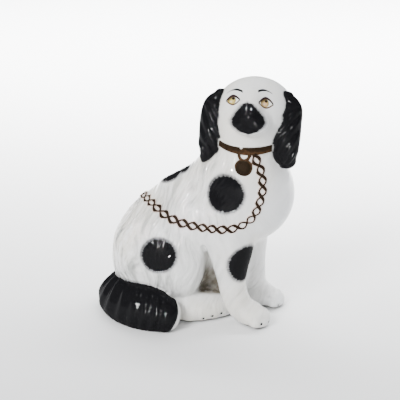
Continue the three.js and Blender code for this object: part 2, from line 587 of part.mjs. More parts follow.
function thinned({ points, faces }, wanted) {
  const p = Float64Array.from(points);
  const f = Int32Array.from(faces);
  const count = p.length / 3;
  const fans = Array.from({ length: count }, () => []);
  const weights = new Float64Array(count * 10);
  const stamps = new Int32Array(count);
  let left = f.length / 3;

  function normalOf(ax, ay, az, bx, by, bz, cx, cy, cz) {
    const ux = bx - ax;
    const uy = by - ay;
    const uz = bz - az;
    const vx = cx - ax;
    const vy = cy - ay;
    const vz = cz - az;
    return [uy * vz - uz * vy, uz * vx - ux * vz, ux * vy - uy * vx];
  }
  const corner = (i) => [p[3 * i], p[3 * i + 1], p[3 * i + 2]];
  for (let face = 0; face < left; face++) {
    const ring = [f[3 * face], f[3 * face + 1], f[3 * face + 2]];
    const [a, b, c] = ring.map(corner);
    const n = normalOf(...a, ...b, ...c);
    const area = Math.hypot(...n) / 2;
    const [x, y, z] = n.map((v) => v / (2 * area || 1));
    const d = -(x * a[0] + y * a[1] + z * a[2]);
    const share = area * care(...a);
    const terms = [x * x, x * y, x * z, x * d, y * y, y * z, y * d, z * z, z * d, d * d];
    for (const i of ring) {
      fans[i].push(face);
      for (let k = 0; k < 10; k++) weights[10 * i + k] += share * terms[k];
    }
  }
  function costAt(q, x, y, z) {
    return q[0] * x * x + 2 * q[1] * x * y + 2 * q[2] * x * z + 2 * q[3] * x + q[4] * y * y
      + 2 * q[5] * y * z + 2 * q[6] * y + q[7] * z * z + 2 * q[8] * z + q[9];
  }
  function bestPlace(q, a, b) {
    const middle = a.map((v, k) => (v + b[k]) / 2);
    const pull = 1e-3 * (q[0] + q[4] + q[7]) + 1e-9;
    const m = new THREE.Matrix3().set(
      q[0] + pull, q[1], q[2], q[1], q[4] + pull, q[5], q[2], q[5], q[7] + pull);
    const right = new THREE.Vector3(
      pull * middle[0] - q[3], pull * middle[1] - q[6], pull * middle[2] - q[8]);
    return right.applyMatrix3(m.invert()).toArray();
  }
  const queue = new Queue();
  function offer(a, b) {
    const q = new Float64Array(10);
    for (let k = 0; k < 10; k++) q[k] = weights[10 * a + k] + weights[10 * b + k];
    const pa = corner(a);
    const pb = corner(b);
    const to = bestPlace(q, pa, pb);
    const length = (pa[0] - pb[0]) ** 2 + (pa[1] - pb[1]) ** 2 + (pa[2] - pb[2]) ** 2;
    const cost = Math.max(0, costAt(q, ...to)) + KEEP_SHAPE * length * care(...pa);
    queue.push({ cost, a, b, to, stampA: stamps[a], stampB: stamps[b] });
  }
  function neighbours(i) {
    const found = new Set();
    for (const face of fans[i]) {
      for (let k = 0; k < 3; k++) found.add(f[3 * face + k]);
    }
    found.delete(i);
    return found;
  }
  function evenness(corners, doubleArea) {
    let edges = 0;
    for (let k = 0; k < 3; k++) {
      const s = corners[k];
      const t = corners[(k + 1) % 3];
      edges += (s[0] - t[0]) ** 2 + (s[1] - t[1]) ** 2 + (s[2] - t[2]) ** 2;
    }
    return (2 * Math.sqrt(3) * doubleArea) / edges;
  }
  // A face must neither turn over nor become a worse sliver when one of its corners moves.
  function spoils(i, other, to) {
    for (const face of fans[i]) {
      const ring = [f[3 * face], f[3 * face + 1], f[3 * face + 2]];
      if (ring.includes(other)) continue;
      const before = ring.map(corner);
      const after = ring.map((v, k) => (v === i ? to : before[k]));
      const n0 = normalOf(...before[0], ...before[1], ...before[2]);
      const n1 = normalOf(...after[0], ...after[1], ...after[2]);
      const l0 = Math.hypot(...n0);
      const l1 = Math.hypot(...n1);
      if (n0[0] * n1[0] + n0[1] * n1[1] + n0[2] * n1[2] < 0.2 * l0 * l1) return true;
      const even = evenness(after, l1);
      if (even < MIN_EVENNESS && even < evenness(before, l0)) return true;
    }
    return false;
  }
  function fold({ a, b, to }) {
    for (let k = 0; k < 3; k++) p[3 * a + k] = to[k];
    for (let k = 0; k < 10; k++) weights[10 * a + k] += weights[10 * b + k];
    for (const face of fans[b]) {
      const ring = [f[3 * face], f[3 * face + 1], f[3 * face + 2]];
      if (ring.includes(a)) {
        left -= 1;
        for (const i of ring) {
          if (i !== b) fans[i] = fans[i].filter((other) => other !== face);
        }
      } else {
        f[3 * face + ring.indexOf(b)] = a;
        fans[a].push(face);
      }
    }
    fans[b] = [];
    stamps[b] = -1;
    stamps[a] += 1;
    for (const i of neighbours(a)) offer(Math.min(a, i), Math.max(a, i));
  }
  // An edge that could not go at first may go once its neighbours have, so there are several rounds.
  for (let round = 0; round < 8 && left > wanted; round++) {
    queue.items = [];
    for (let i = 0; i < count; i++) {
      for (const j of neighbours(i)) {
        if (i < j) offer(i, j);
      }
    }
    while (left > wanted && queue.items.length > 0) {
      const edge = queue.pop();
      const { a, b, to } = edge;
      if (edge.stampA !== stamps[a] || edge.stampB !== stamps[b]) continue;
      const aroundB = neighbours(b);
      const shared = [...neighbours(a)].filter((i) => aroundB.has(i));
      if (shared.length === 2 && !spoils(a, b, to) && !spoils(b, a, to)) fold(edge);
    }
  }
  const kept = [...new Set(fans.flat())].sort((s, t) => s - t);
  return { points: p, faces: kept.flatMap((face) => [...f.subarray(3 * face, 3 * face + 3)]) };
}

// Solid
// The foot is cut off flat at the floor, and the origin is put at the middle of the base.
const wasm = await Module();
wasm.setup();
function solidOf(vertProperties, triVerts) {
  const mesh = new wasm.Mesh({
    numProp: 3,
    vertProperties: Float32Array.from(vertProperties),
    triVerts: Uint32Array.from(triVerts),
  });
  return new wasm.Manifold(mesh);
}
// Numbers the points that the faces still use from 0 on, without gaps, and lays those that almost
// touch the floor on it, so that the cut leaves no slivers.
function packed({ points, faces }) {
  const numbers = new Map();
  const used = [];
  const renamed = faces.map((i) => {
    if (!numbers.has(i)) {
      numbers.set(i, numbers.size);
      const height = points[3 * i + 2];
      used.push(points[3 * i], points[3 * i + 1], Math.abs(height) < NEAR_FLOOR ? 0 : height);
    }
    return numbers.get(i);
  });
  return solidOf(used, renamed);
}
function floorBlock() {
  const block = new THREE.BoxGeometry(400, 400, 40).translate(0, 0, -20);
  block.deleteAttribute("normal");
  block.deleteAttribute("uv");
  const merged = mergeVertices(block);
  return solidOf(merged.getAttribute("position").array, merged.getIndex().array);
}

const SLIVER = 0.05; // edges and steps smaller than this are tidied away after the cut
const cast = packed(thinned(evened(skin(standing), standing), FACES)).subtract(floorBlock()).simplify(SLIVER);
const { vertProperties, triVerts } = cast.getMesh();
const geometry = new THREE.BufferGeometry();
geometry.setAttribute("position", new THREE.BufferAttribute(Float32Array.from(vertProperties), 3));
geometry.setIndex(new THREE.BufferAttribute(Uint32Array.from(triVerts), 1));
geometry.computeBoundingBox();
const middle = geometry.boundingBox.getCenter(new THREE.Vector3());
geometry.translate(-middle.x, -middle.y, -geometry.boundingBox.min.z);
geometry.computeVertexNormals();

const whiteGlaze = new THREE.MeshStandardMaterial({ color: 0xf0efe9, roughness: 0.12, metalness: 0 });
const spaniel = new THREE.Mesh(geometry, whiteGlaze);
spaniel.name = "spaniel";

const figure = new THREE.Group();
figure.add(spaniel);
export default figure;
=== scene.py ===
# %% [markdown]
# # A seated mantel spaniel
#
# The real dog is one hollow earthenware cast. It was pressed in a mould, fired, dipped in a clear
# glaze, painted with black enamel, and gilded last. So it is one piece here too: a fine mesh that
# keeps the form of the CAD solid, with the paint laid over it in the material.

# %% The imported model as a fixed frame
from math import cos, pi, radians, sin

import bmesh
import bpy
import numpy as np
from mathutils import Euler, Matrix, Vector
from mathutils.bvhtree import BVHTree


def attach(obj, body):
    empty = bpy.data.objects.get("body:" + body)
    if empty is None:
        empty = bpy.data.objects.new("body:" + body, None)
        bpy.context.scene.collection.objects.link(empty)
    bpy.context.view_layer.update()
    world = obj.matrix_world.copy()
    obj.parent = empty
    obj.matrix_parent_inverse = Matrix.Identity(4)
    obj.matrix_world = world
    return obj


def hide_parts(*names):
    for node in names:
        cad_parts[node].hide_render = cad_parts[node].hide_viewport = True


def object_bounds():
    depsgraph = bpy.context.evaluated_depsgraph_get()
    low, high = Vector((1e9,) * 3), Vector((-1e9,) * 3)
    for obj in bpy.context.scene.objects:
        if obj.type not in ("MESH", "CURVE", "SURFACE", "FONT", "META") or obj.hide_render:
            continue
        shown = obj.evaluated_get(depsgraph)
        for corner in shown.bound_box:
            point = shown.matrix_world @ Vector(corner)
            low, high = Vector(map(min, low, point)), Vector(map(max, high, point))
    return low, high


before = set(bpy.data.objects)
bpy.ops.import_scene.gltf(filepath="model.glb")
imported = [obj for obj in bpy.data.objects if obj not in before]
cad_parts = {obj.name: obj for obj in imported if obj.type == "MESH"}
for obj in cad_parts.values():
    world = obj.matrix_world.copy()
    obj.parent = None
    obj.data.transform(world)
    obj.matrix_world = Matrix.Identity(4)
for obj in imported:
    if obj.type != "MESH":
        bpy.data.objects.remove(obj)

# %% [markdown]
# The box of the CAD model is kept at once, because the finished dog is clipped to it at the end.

cad_box = [list(corner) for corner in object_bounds()]
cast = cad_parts["spaniel"]
MM = 0.001
HEIGHT = 246.0
MIDDLE = np.array([-1.538, -17.843, 0.0])  # the middle of the base, in the sculptor's millimetres


def to_scene(place):
    return (np.asarray(place) - MIDDLE) * MM


def to_sculptor(place):
    return np.asarray(place) / MM + MIDDLE


print("the cast measures", [round(high - low, 4) for low, high in zip(*cad_box)], "metres")

# %% [markdown]
# ## The viewpoint
#
# The photograph was taken from a little above, with a long lens, so the dog shows hardly any
# perspective. One pixel of the 400-pixel picture is one millimetre at the aim. The camera's own
# directions are kept as values, because the painter's marks on the face are placed by what is seen.

# %% The camera
PICTURE = 400
VIEW_DISTANCE = 1200.0
AIM = np.array([0.0, 0.0, 116.0])
SENSOR = 36.0
view_turn = radians(10)
view_rise = radians(20)
RIGHT = np.array([cos(view_turn), sin(view_turn), 0])
UP = np.array([-sin(view_turn) * sin(view_rise), cos(view_turn) * sin(view_rise), cos(view_rise)])
BACK = np.array([sin(view_turn) * cos(view_rise), -cos(view_turn) * cos(view_rise), sin(view_rise)])
LENS_AT = AIM + VIEW_DISTANCE * BACK

lens = bpy.data.cameras.new("viewpoint")
lens.sensor_width = SENSOR
lens.lens = SENSOR * VIEW_DISTANCE / PICTURE
lens.clip_start = 0.05
lens.clip_end = 40
camera = bpy.data.objects.new("viewpoint", lens)
camera.location = to_scene(LENS_AT)
camera.rotation_mode = "QUATERNION"
camera.rotation_quaternion = Vector(-BACK).to_track_quat("-Z", "Y")
bpy.context.scene.collection.objects.link(camera)
bpy.context.scene.camera = camera
print("the lens is", lens.lens, "mm long")

# %% [markdown]
# ## Floor and light
#
# The dog stands on a pale sweep of paper. Soft light comes from all round, and small lamps in front
# leave the short bright marks on the glaze. A plane is enough for the floor, because the camera
# looks down and never sees its far edge.

# %% The pale floor
FLOOR_HALF = 9.0
FLOOR_DROP = 0.0001
PAPER = (0.74, 0.745, 0.75)
PAPER_ROUGHNESS = 0.7
PAPER_GLOSS = 0.2


def material_named(name):
    made = bpy.data.materials.new(name)
    made.use_nodes = True
    return made


floor_form = bmesh.new()
bmesh.ops.create_grid(floor_form, x_segments=1, y_segments=1, size=FLOOR_HALF)
bmesh.ops.translate(floor_form, verts=floor_form.verts, vec=(0, 0, -FLOOR_DROP))
floor_mesh = bpy.data.meshes.new("floor")
floor_form.to_mesh(floor_mesh)
floor_form.free()
floor = bpy.data.objects.new("floor", floor_mesh)
bpy.context.scene.collection.objects.link(floor)
paper = material_named("paper")
paper_shader = paper.node_tree.nodes["Principled BSDF"]
paper_shader.inputs["Base Color"].default_value = (*PAPER, 1)
paper_shader.inputs["Roughness"].default_value = PAPER_ROUGHNESS
paper_shader.inputs["Specular IOR Level"].default_value = PAPER_GLOSS
floor_mesh.materials.append(paper)

# %% Soft light from all round
WORLD_LIGHT = 1.05
WORLD_COLOUR = (0.98, 0.99, 1)
world = bpy.data.worlds.new("studio")
world.use_nodes = True
world.node_tree.nodes["Background"].inputs["Color"].default_value = (*WORLD_COLOUR, 1)
world.node_tree.nodes["Background"].inputs["Strength"].default_value = WORLD_LIGHT
world.cycles_visibility.glossy = False
bpy.context.scene.world = world

# %% [markdown]
# Two big boxes light the clay and the paper but are flagged off from the glaze. The narrow strips
# near the lens, the small box high up and the two lamps over the nose do the opposite: they only
# leave short bright marks on the glaze. The nose lamps have narrow beams, so that they leave no rows
# of dots on the tail and the ears.


# %% The boxes and the strips
WIDE = 180  # degrees that a lamp's light spreads over
NARROW = 10


def lamp(name, place, aim, size, watts, glints=False, lean=0, beam=WIDE):
    """A rectangular soft box in metres, turned to its aim, for the clay or for the glints only."""
    light = bpy.data.lights.new(name, "AREA")
    light.shape = "RECTANGLE"
    light.size, light.size_y = size
    light.energy = watts
    light.spread = radians(beam)
    made = bpy.data.objects.new(name, light)
    made.location = place
    made.rotation_mode = "QUATERNION"
    turn = (Vector(aim) - Vector(place)).to_track_quat("-Z", "Y")
    made.rotation_quaternion = turn @ Euler((0, 0, radians(lean))).to_quaternion()
    made.visible_glossy = glints
    made.visible_diffuse = not glints
    bpy.context.scene.collection.objects.link(made)
    return made


DOG_MIDDLE = (0, 0, 0.12)
NOSE = np.array([0.056, -0.034, 0.226])
lamp("key box", (-0.75, -1.75, 1.45), DOG_MIDDLE, (0.8, 0.8), 88)
lamp("back box", (0.4, 1.1, 1.3), (0.4, 2.2, 0), (3.6, 1.2), 560)
GLINTS = [
    # name, place, aim, size, watts, lean and beam in degrees
    ("upper strip", (-0.25, -1.68, 0.72), DOG_MIDDLE, (0.045, 0.25), 68, -30, WIDE),
    ("middle strip", (0.06, -1.72, 0.60), DOG_MIDDLE, (0.045, 0.25), 68, -30, WIDE),
    ("low strip", (0.0, -1.80, 0.28), DOG_MIDDLE, (0.03, 0.16), 32, -38, WIDE),
    ("low right strip", (0.19, -1.79, 0.10), DOG_MIDDLE, (0.03, 0.15), 32, -38, WIDE),
    ("left nose lamp", NOSE + (-0.15, -0.04, 0.32), NOSE, (0.013, 0.013), 0.006, 0, NARROW),
    ("right nose lamp", NOSE + (0.08, -0.07, 0.33), NOSE, (0.013, 0.013), 0.006, 0, NARROW),
    ("high box", (-0.35, -1.0, 1.7), DOG_MIDDLE, (0.20, 0.20), 9, 0, WIDE),
]
for name, place, aim, size, watts, lean, beam in GLINTS:
    lamp(name, place, aim, size, watts, glints=True, lean=lean, beam=beam)

# %% [markdown]
# ## How the clay is shaped
#
# A modeller builds up masses of clay and smooths the joins. The same can be done with distances: a
# form is a rule that says how far a point is from its skin, less than nothing inside. Two forms are
# joined by taking the smaller distance, with a soft step where they meet. The dog's mesh is then
# pressed on to the skin of the joined form. This gives a glazed surface with no facets in it, which
# no amount of subdividing would give. All of it is in millimetres, with +Z up and the face to -Y.

# %% Soft joins
def ease(low, high, value):
    t = np.clip((value - low) / (high - low), 0, 1)
    return t * t * (3 - 2 * t)


def join(a, b, k):
    """The union of two distances, with a fillet about as wide as k."""
    h = np.maximum(k - np.abs(a - b), 0) / k
    return np.minimum(a, b) - h * h * k / 4


def unit(v):
    return v / np.linalg.norm(v, axis=-1, keepdims=True)


def oval(q, sizes):
    """The distance to an ellipsoid whose half sizes are given, q being measured in them."""
    k0 = np.linalg.norm(q, axis=1)
    k1 = np.maximum(np.linalg.norm(q / sizes, axis=1), 1e-6)
    return k0 * (k0 - 1) / k1


# %% Blobs: turned ellipsoids
class Blob:
    def __init__(self, middle, sizes, angles=(0, 0, 0)):
        self.middle = np.array(middle, float)
        self.sizes = np.array(sizes, float)
        self.turned = np.array(Euler([radians(a) for a in angles], "XYZ").to_matrix())
        self.reach = self.sizes.max()

    def at(self, p):
        return oval((p - self.middle) @ self.turned / self.sizes, self.sizes)


# %% [markdown]
# An ear, a leg or the tail is a lobe: an oval section that follows a smooth path and has round
# ends. Its breadth and thickness change along the path, and a relief, such as flutes, can be laid
# on it. The nearest place of the path is found from a row of beads and then corrected three times.

# %% Lobes: oval sections along a smooth path
class Lobe:
    BEADS = 4  # to each piece of the path

    def __init__(self, stations, facing=None, relief=None):
        rows = np.array([s if len(s) == 5 else (*s, s[3]) for s in stations], float)
        self.last = len(rows) - 1
        piece = np.arange(self.last)
        p0 = rows[np.maximum(piece - 1, 0)]
        p1 = rows[piece]
        p2 = rows[piece + 1]
        p3 = rows[np.minimum(piece + 2, self.last)]
        self.terms = np.stack([
            p1,
            (p2 - p0) / 2,
            (2 * p0 - 5 * p1 + 4 * p2 - p3) / 2,
            (3 * p1 - p0 - 3 * p2 + p3) / 2,
        ])
        self.facing = facing or (lambda t: np.array([[0.0, 1.0, 0.0]]))
        self.relief = relief
        self.beads = self.value(np.arange(self.last * self.BEADS + 1) / self.BEADS)[:, :3]
        self.middle = self.beads.mean(axis=0)
        self.reach = np.linalg.norm(self.beads - self.middle, axis=1).max() + rows[:, 3:].max()

    def parts(self, t):
        piece = np.minimum(t.astype(int), self.last - 1)
        return self.terms[:, piece], (t - piece)[:, None]

    def value(self, t):
        (c0, c1, c2, c3), s = self.parts(t)
        return c0 + s * (c1 + s * (c2 + s * c3))

    def slope(self, t):
        (c0, c1, c2, c3), s = self.parts(t)
        return (c1 + s * (2 * c2 + 3 * s * c3))[:, :3]

    def bend(self, t):
        (c0, c1, c2, c3), s = self.parts(t)
        return (2 * c2 + 6 * s * c3)[:, :3]

    def nearest(self, p):
        away = (self.beads ** 2).sum(axis=1) - 2 * p @ self.beads.T
        start = away.argmin(axis=1) / self.BEADS
        low = np.maximum(0, start - 1 / self.BEADS)
        high = np.minimum(self.last, start + 1 / self.BEADS)
        t = start
        for _ in range(3):
            miss = self.value(t)[:, :3] - p
            speed = self.slope(t)
            pull = (miss * speed).sum(axis=1)
            firm = (speed ** 2 + np.maximum(0, miss * self.bend(t))).sum(axis=1)
            t = np.clip(t - pull / firm, low, high)
        return t

    def axes(self, t):
        along = unit(self.slope(t))
        thin = self.facing(t / self.last)
        thin = unit(thin - (thin * along).sum(axis=1, keepdims=True) * along)
        return along, thin, np.cross(along, thin)

    def at(self, p):
        t = self.nearest(p)
        along, thin, broad = self.axes(t)
        here = self.value(t)
        off = p - here[:, :3]
        ends = np.minimum(here[:, 3], here[:, 4])
        sizes = np.stack([here[:, 3], here[:, 4], ends], axis=1)
        q = np.stack([(off * axis).sum(axis=1) for axis in (broad, thin, along)], axis=1) / sizes
        away = oval(q, sizes)
        if self.relief:
            away = away - self.relief(t / self.last, q[:, 0], q[:, 1])
        return away


# %% Adding clay and taking it away
def clearance(p, form):
    return np.linalg.norm(p - form.middle, axis=1) - form.reach


def added(d, p, form, k):
    near = clearance(p, form) <= np.maximum(0, d + k)
    result = d.copy()
    result[near] = join(d[near], form.at(p[near]), k)
    return result


def carved(d, p, form, k):
    near = clearance(p, form) <= k + 3 - d
    result = d.copy()
    result[near] = -join(-d[near], form.at(p[near]), k)
    return result


# %% [markdown]
# ## The dog's forms
#
# The trunk is seven rounded masses. The near haunch and foreleg stand proud of it, and a hollow is
# cut between them, as the mould leaves it. The far side is plainer, because it stood to the wall.

# %% Trunk, haunches and feet
LEG_SPREAD = 49.0
LEG_LINE = -34.0
FAR_LEG_LINE = LEG_LINE + LEG_SPREAD
BODY_LINE = -6.0
HEAD_LINE = 54.5

pelvis = Blob((-41, BODY_LINE, 53), (47.5, 41, 59), (0, -9, 0))
loin = Blob((-12, BODY_LINE, 91), (51, 39, 49.5), (0, -38, 0))
withers = Lobe([
    (-22, BODY_LINE, 125, 17, 24), (0, BODY_LINE, 139, 17, 24), (12, BODY_LINE, 147, 17, 24),
])
chest = Blob((43.5, BODY_LINE - 1, 128), (52, 40, 49.5), (0, -25, 0))
throat = Blob((44, BODY_LINE - 1, 156), (35, 33, 38), (0, -15, 0))
neck = Blob((51.5, BODY_LINE - 1, 190), (29.5, 29.5, 40))
belly = Blob((9, 2, 50), (41, 15, 62))
near_haunch = Blob((-37, -27, 70), (45.5, 29, 49), (0, -6, 0))
near_knee = Blob((-15, -33, 48), (22, 18, 24), (0, 10, 0))
far_haunch = Blob((-35, 14, 66), (45, 25, 48), (0, -12, 0))
near_foot = Lobe([(-16, -31, 13.5, 15.5), (2, -28, 13, 15.5), (17, -20, 12, 14.5), (30, -10, 10, 12.5)])
far_foot = Lobe([(-16, 20, 12, 14), (2, 20, 11, 13), (20, 14, 10, 12), (34, 8, 8.5, 10)])
hollow = Lobe([
    (11, -42, 82, 1, 10), (14, -38, 64, 4, 17), (16.5, -35, 48, 7, 20), (17, -34, 36, 9.5, 20),
    (17.5, -34, 28, 9, 20),
])

# %% Forelegs and toes
near_leg = Lobe([
    (28, LEG_LINE + 14, 116, 27), (35, LEG_LINE + 6, 84, 23), (36.5, LEG_LINE + 1, 61, 17.2),
    (37.8, LEG_LINE, 46, 13.8), (40.4, LEG_LINE, 32, 13), (45.4, LEG_LINE + 1, 20, 12.8),
    (53.5, LEG_LINE + 2.5, 12.5, 11.5),
])
near_paw = Lobe([
    (55, LEG_LINE + 3, 11, 11), (60, LEG_LINE + 0.5, 10, 12), (65.5, LEG_LINE - 2, 8.5, 10),
])
far_leg = Lobe([
    (45.5, FAR_LEG_LINE - 11, 112, 27), (50.5, FAR_LEG_LINE - 3, 80, 17.5),
    (51.5, FAR_LEG_LINE, 57, 13.9), (52, FAR_LEG_LINE + 0.5, 38, 13.2),
    (53, FAR_LEG_LINE + 0.5, 24, 13.5), (58, FAR_LEG_LINE + 0.5, 13.5, 13),
])
far_paw = Lobe([
    (57, FAR_LEG_LINE + 1, 11, 13), (67, FAR_LEG_LINE + 1, 10, 11.6), (74, FAR_LEG_LINE + 1, 8, 9.5),
])
# x, y, z, size, and height in sizes
TOES = [
    (-4, -36, 12, 8.5, 1.5), (7, -32.5, 11.5, 8, 1.45), (17, -27, 11, 7.5, 1.4),
    (25.5, -20.5, 9.5, 7, 1.3), (63.5, LEG_LINE - 8.5, 8, 6.4, 1.15),
    (68.5, LEG_LINE - 3.5, 8.5, 6.6, 1.15), (69, LEG_LINE + 3, 9, 6.6, 1.15),
    (75, FAR_LEG_LINE - 5.5, 6.5, 6.4, 1.1), (78.5, FAR_LEG_LINE + 0.5, 6.8, 6.6, 1.1),
    (76.5, FAR_LEG_LINE + 7, 6.8, 6.5, 1.1),
]
toes = [Blob((x, y, z), (size * 1.1, size * 1.15, size * tall)) for x, y, z, size, tall in TOES]

# %% Head
skull = Blob((HEAD_LINE, BODY_LINE + 1, HEIGHT - 33.2), (38.5, 33, 33))
cheeks = Blob((52.5, -15, 199), (29.5, 25, 25))
nose_bridge = Lobe([(54, -26, 231, 9, 7), (54.5, -40, 226, 10, 8), (54.5, -49, 219.5, 9.5, 7.5)])
flews = [Blob((54.3 + side * 7.8, -42, 212.5), (10.8, 15, 10), (0, side * 16, 0)) for side in (-1, 1)]
chin = Blob((53.8, -41.5, 205.8), (12, 11.5, 7))
nose = Blob((54.5, -53.5, 219.5), (7, 4.4, 4.6))
eye_hollows = [Blob((53 + side * 15, -43, 226), (9, 6, 6.5)) for side in (-1, 1)]

# %% [markdown]
# The ears and the tail are fluted like locks of long hair. The flutes die out at the rim.

# %% Ears and tail
EAR_FLUTES = 5
TAIL_FLUTES = 9


def wave(turns):
    return np.cos(2 * pi * turns)


def ear_flutes(slant):
    def relief(t, u, v):
        fade = ease(1.05, 0.6, np.abs(u)) * ease(0.02, 0.14, t) * ease(1, 0.85, t)
        curl = 1.4 * slant * ease(0.28, 0.08, t)
        return 0.9 * fade * wave(EAR_FLUTES * t + (slant - curl) * u)
    return relief


def tail_facing(t):
    turn = np.radians(170 + (272 - 170) * t)
    lean = np.radians(46 + (14 - 46) * ease(0, 0.8, t))
    return np.stack([np.cos(turn) * np.cos(lean), np.sin(turn) * np.cos(lean), np.sin(lean)], axis=1)


def tail_flutes(t, u, v):
    return ease(1.02, 0.6, np.abs(u)) * ease(0.02, 0.1, t) * wave(TAIL_FLUTES * (t + 0.05 * u * u))


left_ear = Lobe([
    (22, -12, 229, 6, 6), (18, -14.5, 220, 11.4, 9.5), (16.2, -17, 207, 13, 10.5),
    (16, -21, 190, 13.3, 10.5), (14.6, -22.5, 178, 12.4, 9.5), (11, -22, 169.3, 7.6, 6.5),
], relief=ear_flutes(-1.4))
right_ear = Lobe([
    (86, -12, 229, 6.5, 6), (89, -14.5, 219, 11.8, 9.5), (87.4, -18.5, 206, 13.8, 11.5),
    (85.6, -23, 190, 14.8, 12), (86.8, -23.2, 177, 12.4, 11), (88.6, -21.5, 169, 8.6, 7.5),
], relief=ear_flutes(1.4))
tail = Lobe([
    (-79, 16, 19, 18, 12), (-86.5, -10, 18, 21.5, 13.5), (-75, -36, 19.5, 23, 15),
    (-55, -52, 20, 23.5, 15.5), (-37, -59, 19, 22, 14.5), (-22.5, -61.5, 16.5, 18, 13),
], tail_facing, tail_flutes)


# %% The coat: trunk, haunches and legs before their relief
def coat(p):
    d = join(pelvis.at(p), loin.at(p), 26)
    d = added(d, p, chest, 24)
    d = added(d, p, withers, 10)
    d = added(d, p, throat, 20)
    d = added(d, p, neck, 16)
    d = added(d, p, far_haunch, 8)
    d = added(d, p, far_leg, 10)
    d = added(d, p, near_leg, 10)
    d = added(d, p, near_haunch, 5)
    d = carved(d, p, hollow, 4)
    d = added(d, p, belly, 5)
    d = added(d, p, near_leg, 2)
    d = added(d, p, near_haunch, 3)
    return added(d, p, near_knee, 6)


# %% [markdown]
# ## Collar, locket and chain
#
# They are not loose: the mould raises them from the coat, and the gilder picks them out later. The
# chain is two strands that cross once in every link. Its path is laid on the coat by halving: a
# line is shot at the dog, and the step is halved until it meets the skin.

# %% The chain's path
LINK_PITCH = 10.2
LINK_HALF_WIDTH = 4.6
CHAIN_PLACES = 32  # equal steps of its path
CHAIN_WIRE = 1.25
HALVINGS = 24
FINE_POINTS = 800  # by which the length of its path is measured
# places seen from the front, (x, z), and then from above, (x, y)
CHAIN_DROP = [
    (58.4, 177.6), (62.6, 169.5), (66, 160.5), (67.4, 151), (67.4, 143), (65.7, 135.3),
    (62.3, 124.3), (56, 114.5), (45.5, 108), (33.1, 105.6), (22, 104.9), (11, 104.3), (1, 104.9),
    (-8.4, 106.6), (-18, 109.4), (-26, 112.8), (-33, 116.4),
]
CHAIN_OVER = [(-41, -31.5), (-48, -22.5), (-54, -12), (-57.5, 0), (-58.5, 11)]


def on_coat(start, end):
    out = np.array(start, float)
    inside = np.array(end, float)
    for _ in range(HALVINGS):
        middle = (out + inside) / 2
        clear = coat(middle) > 0
        out = np.where(clear[:, None], middle, out)
        inside = np.where(clear[:, None], inside, middle)
    return inside


def slope_of(rule, p, e=0.05):
    here = rule(p)
    steps = [rule(p + e * axis) - here for axis in np.eye(3)]
    return np.stack(steps, axis=1) / e


chain_curve = Lobe([(*place, 1, 1) for place in np.vstack([
    on_coat([(x, -90, z) for x, z in CHAIN_DROP], [(x, -10, z) for x, z in CHAIN_DROP]),
    on_coat([(x, y, 190) for x, y in CHAIN_OVER], [(x, y, 80) for x, y in CHAIN_OVER]),
])])
steps = chain_curve.value(np.linspace(0, chain_curve.last, FINE_POINTS))[:, :3]
gone = np.append(0, np.cumsum(np.linalg.norm(np.diff(steps, axis=0), axis=1)))
LINKS = round(gone[-1] / LINK_PITCH)
even = np.linspace(0, gone[-1], CHAIN_PLACES + 1)
chain_path = np.stack([np.interp(even, gone, steps[:, k]) for k in range(3)], axis=1)
chain_ups = unit(slope_of(coat, chain_path, 0.5))
chain_path -= coat(chain_path)[:, None] * chain_ups
chain_band = Lobe([(*place, LINK_HALF_WIDTH + 1, 2) for place in chain_path])
print("the chain has", LINKS, "links in", round(gone[-1]), "mm")


# %% The chain's two strands
def chain_place(p):
    """Where a point is on the chain: how far along, how far to the side and how high."""
    t = chain_band.nearest(p)
    station = np.minimum(t.astype(int), chain_band.last - 1)
    share = (t - station)[:, None]
    up = unit(chain_ups[station] * (1 - share) + chain_ups[station + 1] * share)
    along = unit(chain_band.slope(t))
    across = unit(np.cross(along, up))
    off = p - chain_band.value(t)[:, :3]
    over, side, rise = ((off * axis).sum(axis=1) for axis in (along, across, up))
    return pi * LINKS * t / chain_band.last, side, rise, over, along, across


class Chain:
    middle = chain_band.middle
    reach = chain_band.reach
    CROSSING_RISE = 0.35  # how much one strand rides over the other
    NEAR = 12.0  # further off than this, the distance to the path is enough

    def at(self, p):
        away = np.sqrt(((p[:, None] - chain_band.beads[None, ::2]) ** 2).sum(axis=2).min(axis=1))
        near = away < self.NEAR
        away[near] = self.strands(p[near])
        return away

    def strands(self, p):
        phase, side, rise, over = chain_place(p)[:4]
        swing = np.sin(phase) * (LINK_HALF_WIDTH - CHAIN_WIRE)
        ride = np.cos(phase) * self.CROSSING_RISE
        first = np.hypot((side - swing) * 0.85, rise - ride)
        second = np.hypot((side + swing) * 0.85, rise + ride)
        return np.hypot(np.minimum(first, second), over) - CHAIN_WIRE


chain = Chain()

# %% Collar, locket and shackle
COLLAR_WIDTH = 8.4
COLLAR_RISE = 1.3
LOCKET = np.array([48.8, -41.0, 166.6])
locket = Blob(LOCKET, (8.6, 2.9, 8.9), (-14, 0, 0))


def collar_off(p):
    """How far a point is above the collar's middle line, which drops towards the throat."""
    x, y, z = p.T
    front = 0.28 * (np.minimum(y, -14) + 37)
    return z - (184 - 0.03 * (x - 52) + front + 0.1 * np.maximum(0, y + 14))


def collar_rise(p):
    band = ease(COLLAR_WIDTH / 2 + 0.6, COLLAR_WIDTH / 2 - 0.5, np.abs(collar_off(p)))
    return COLLAR_RISE * band * ease(8, 14, p[:, 0]) * (p[:, 2] > 160) * (p[:, 2] < 210)


class Shackle:
    middle = LOCKET + (0.6, 0.8, 11.8)
    reach = 8.0

    def at(self, p):
        off = p - self.middle
        return np.hypot(np.hypot(off[:, 0], off[:, 2]) - 4.9, off[:, 1]) - 1.2


shackle = Shackle()

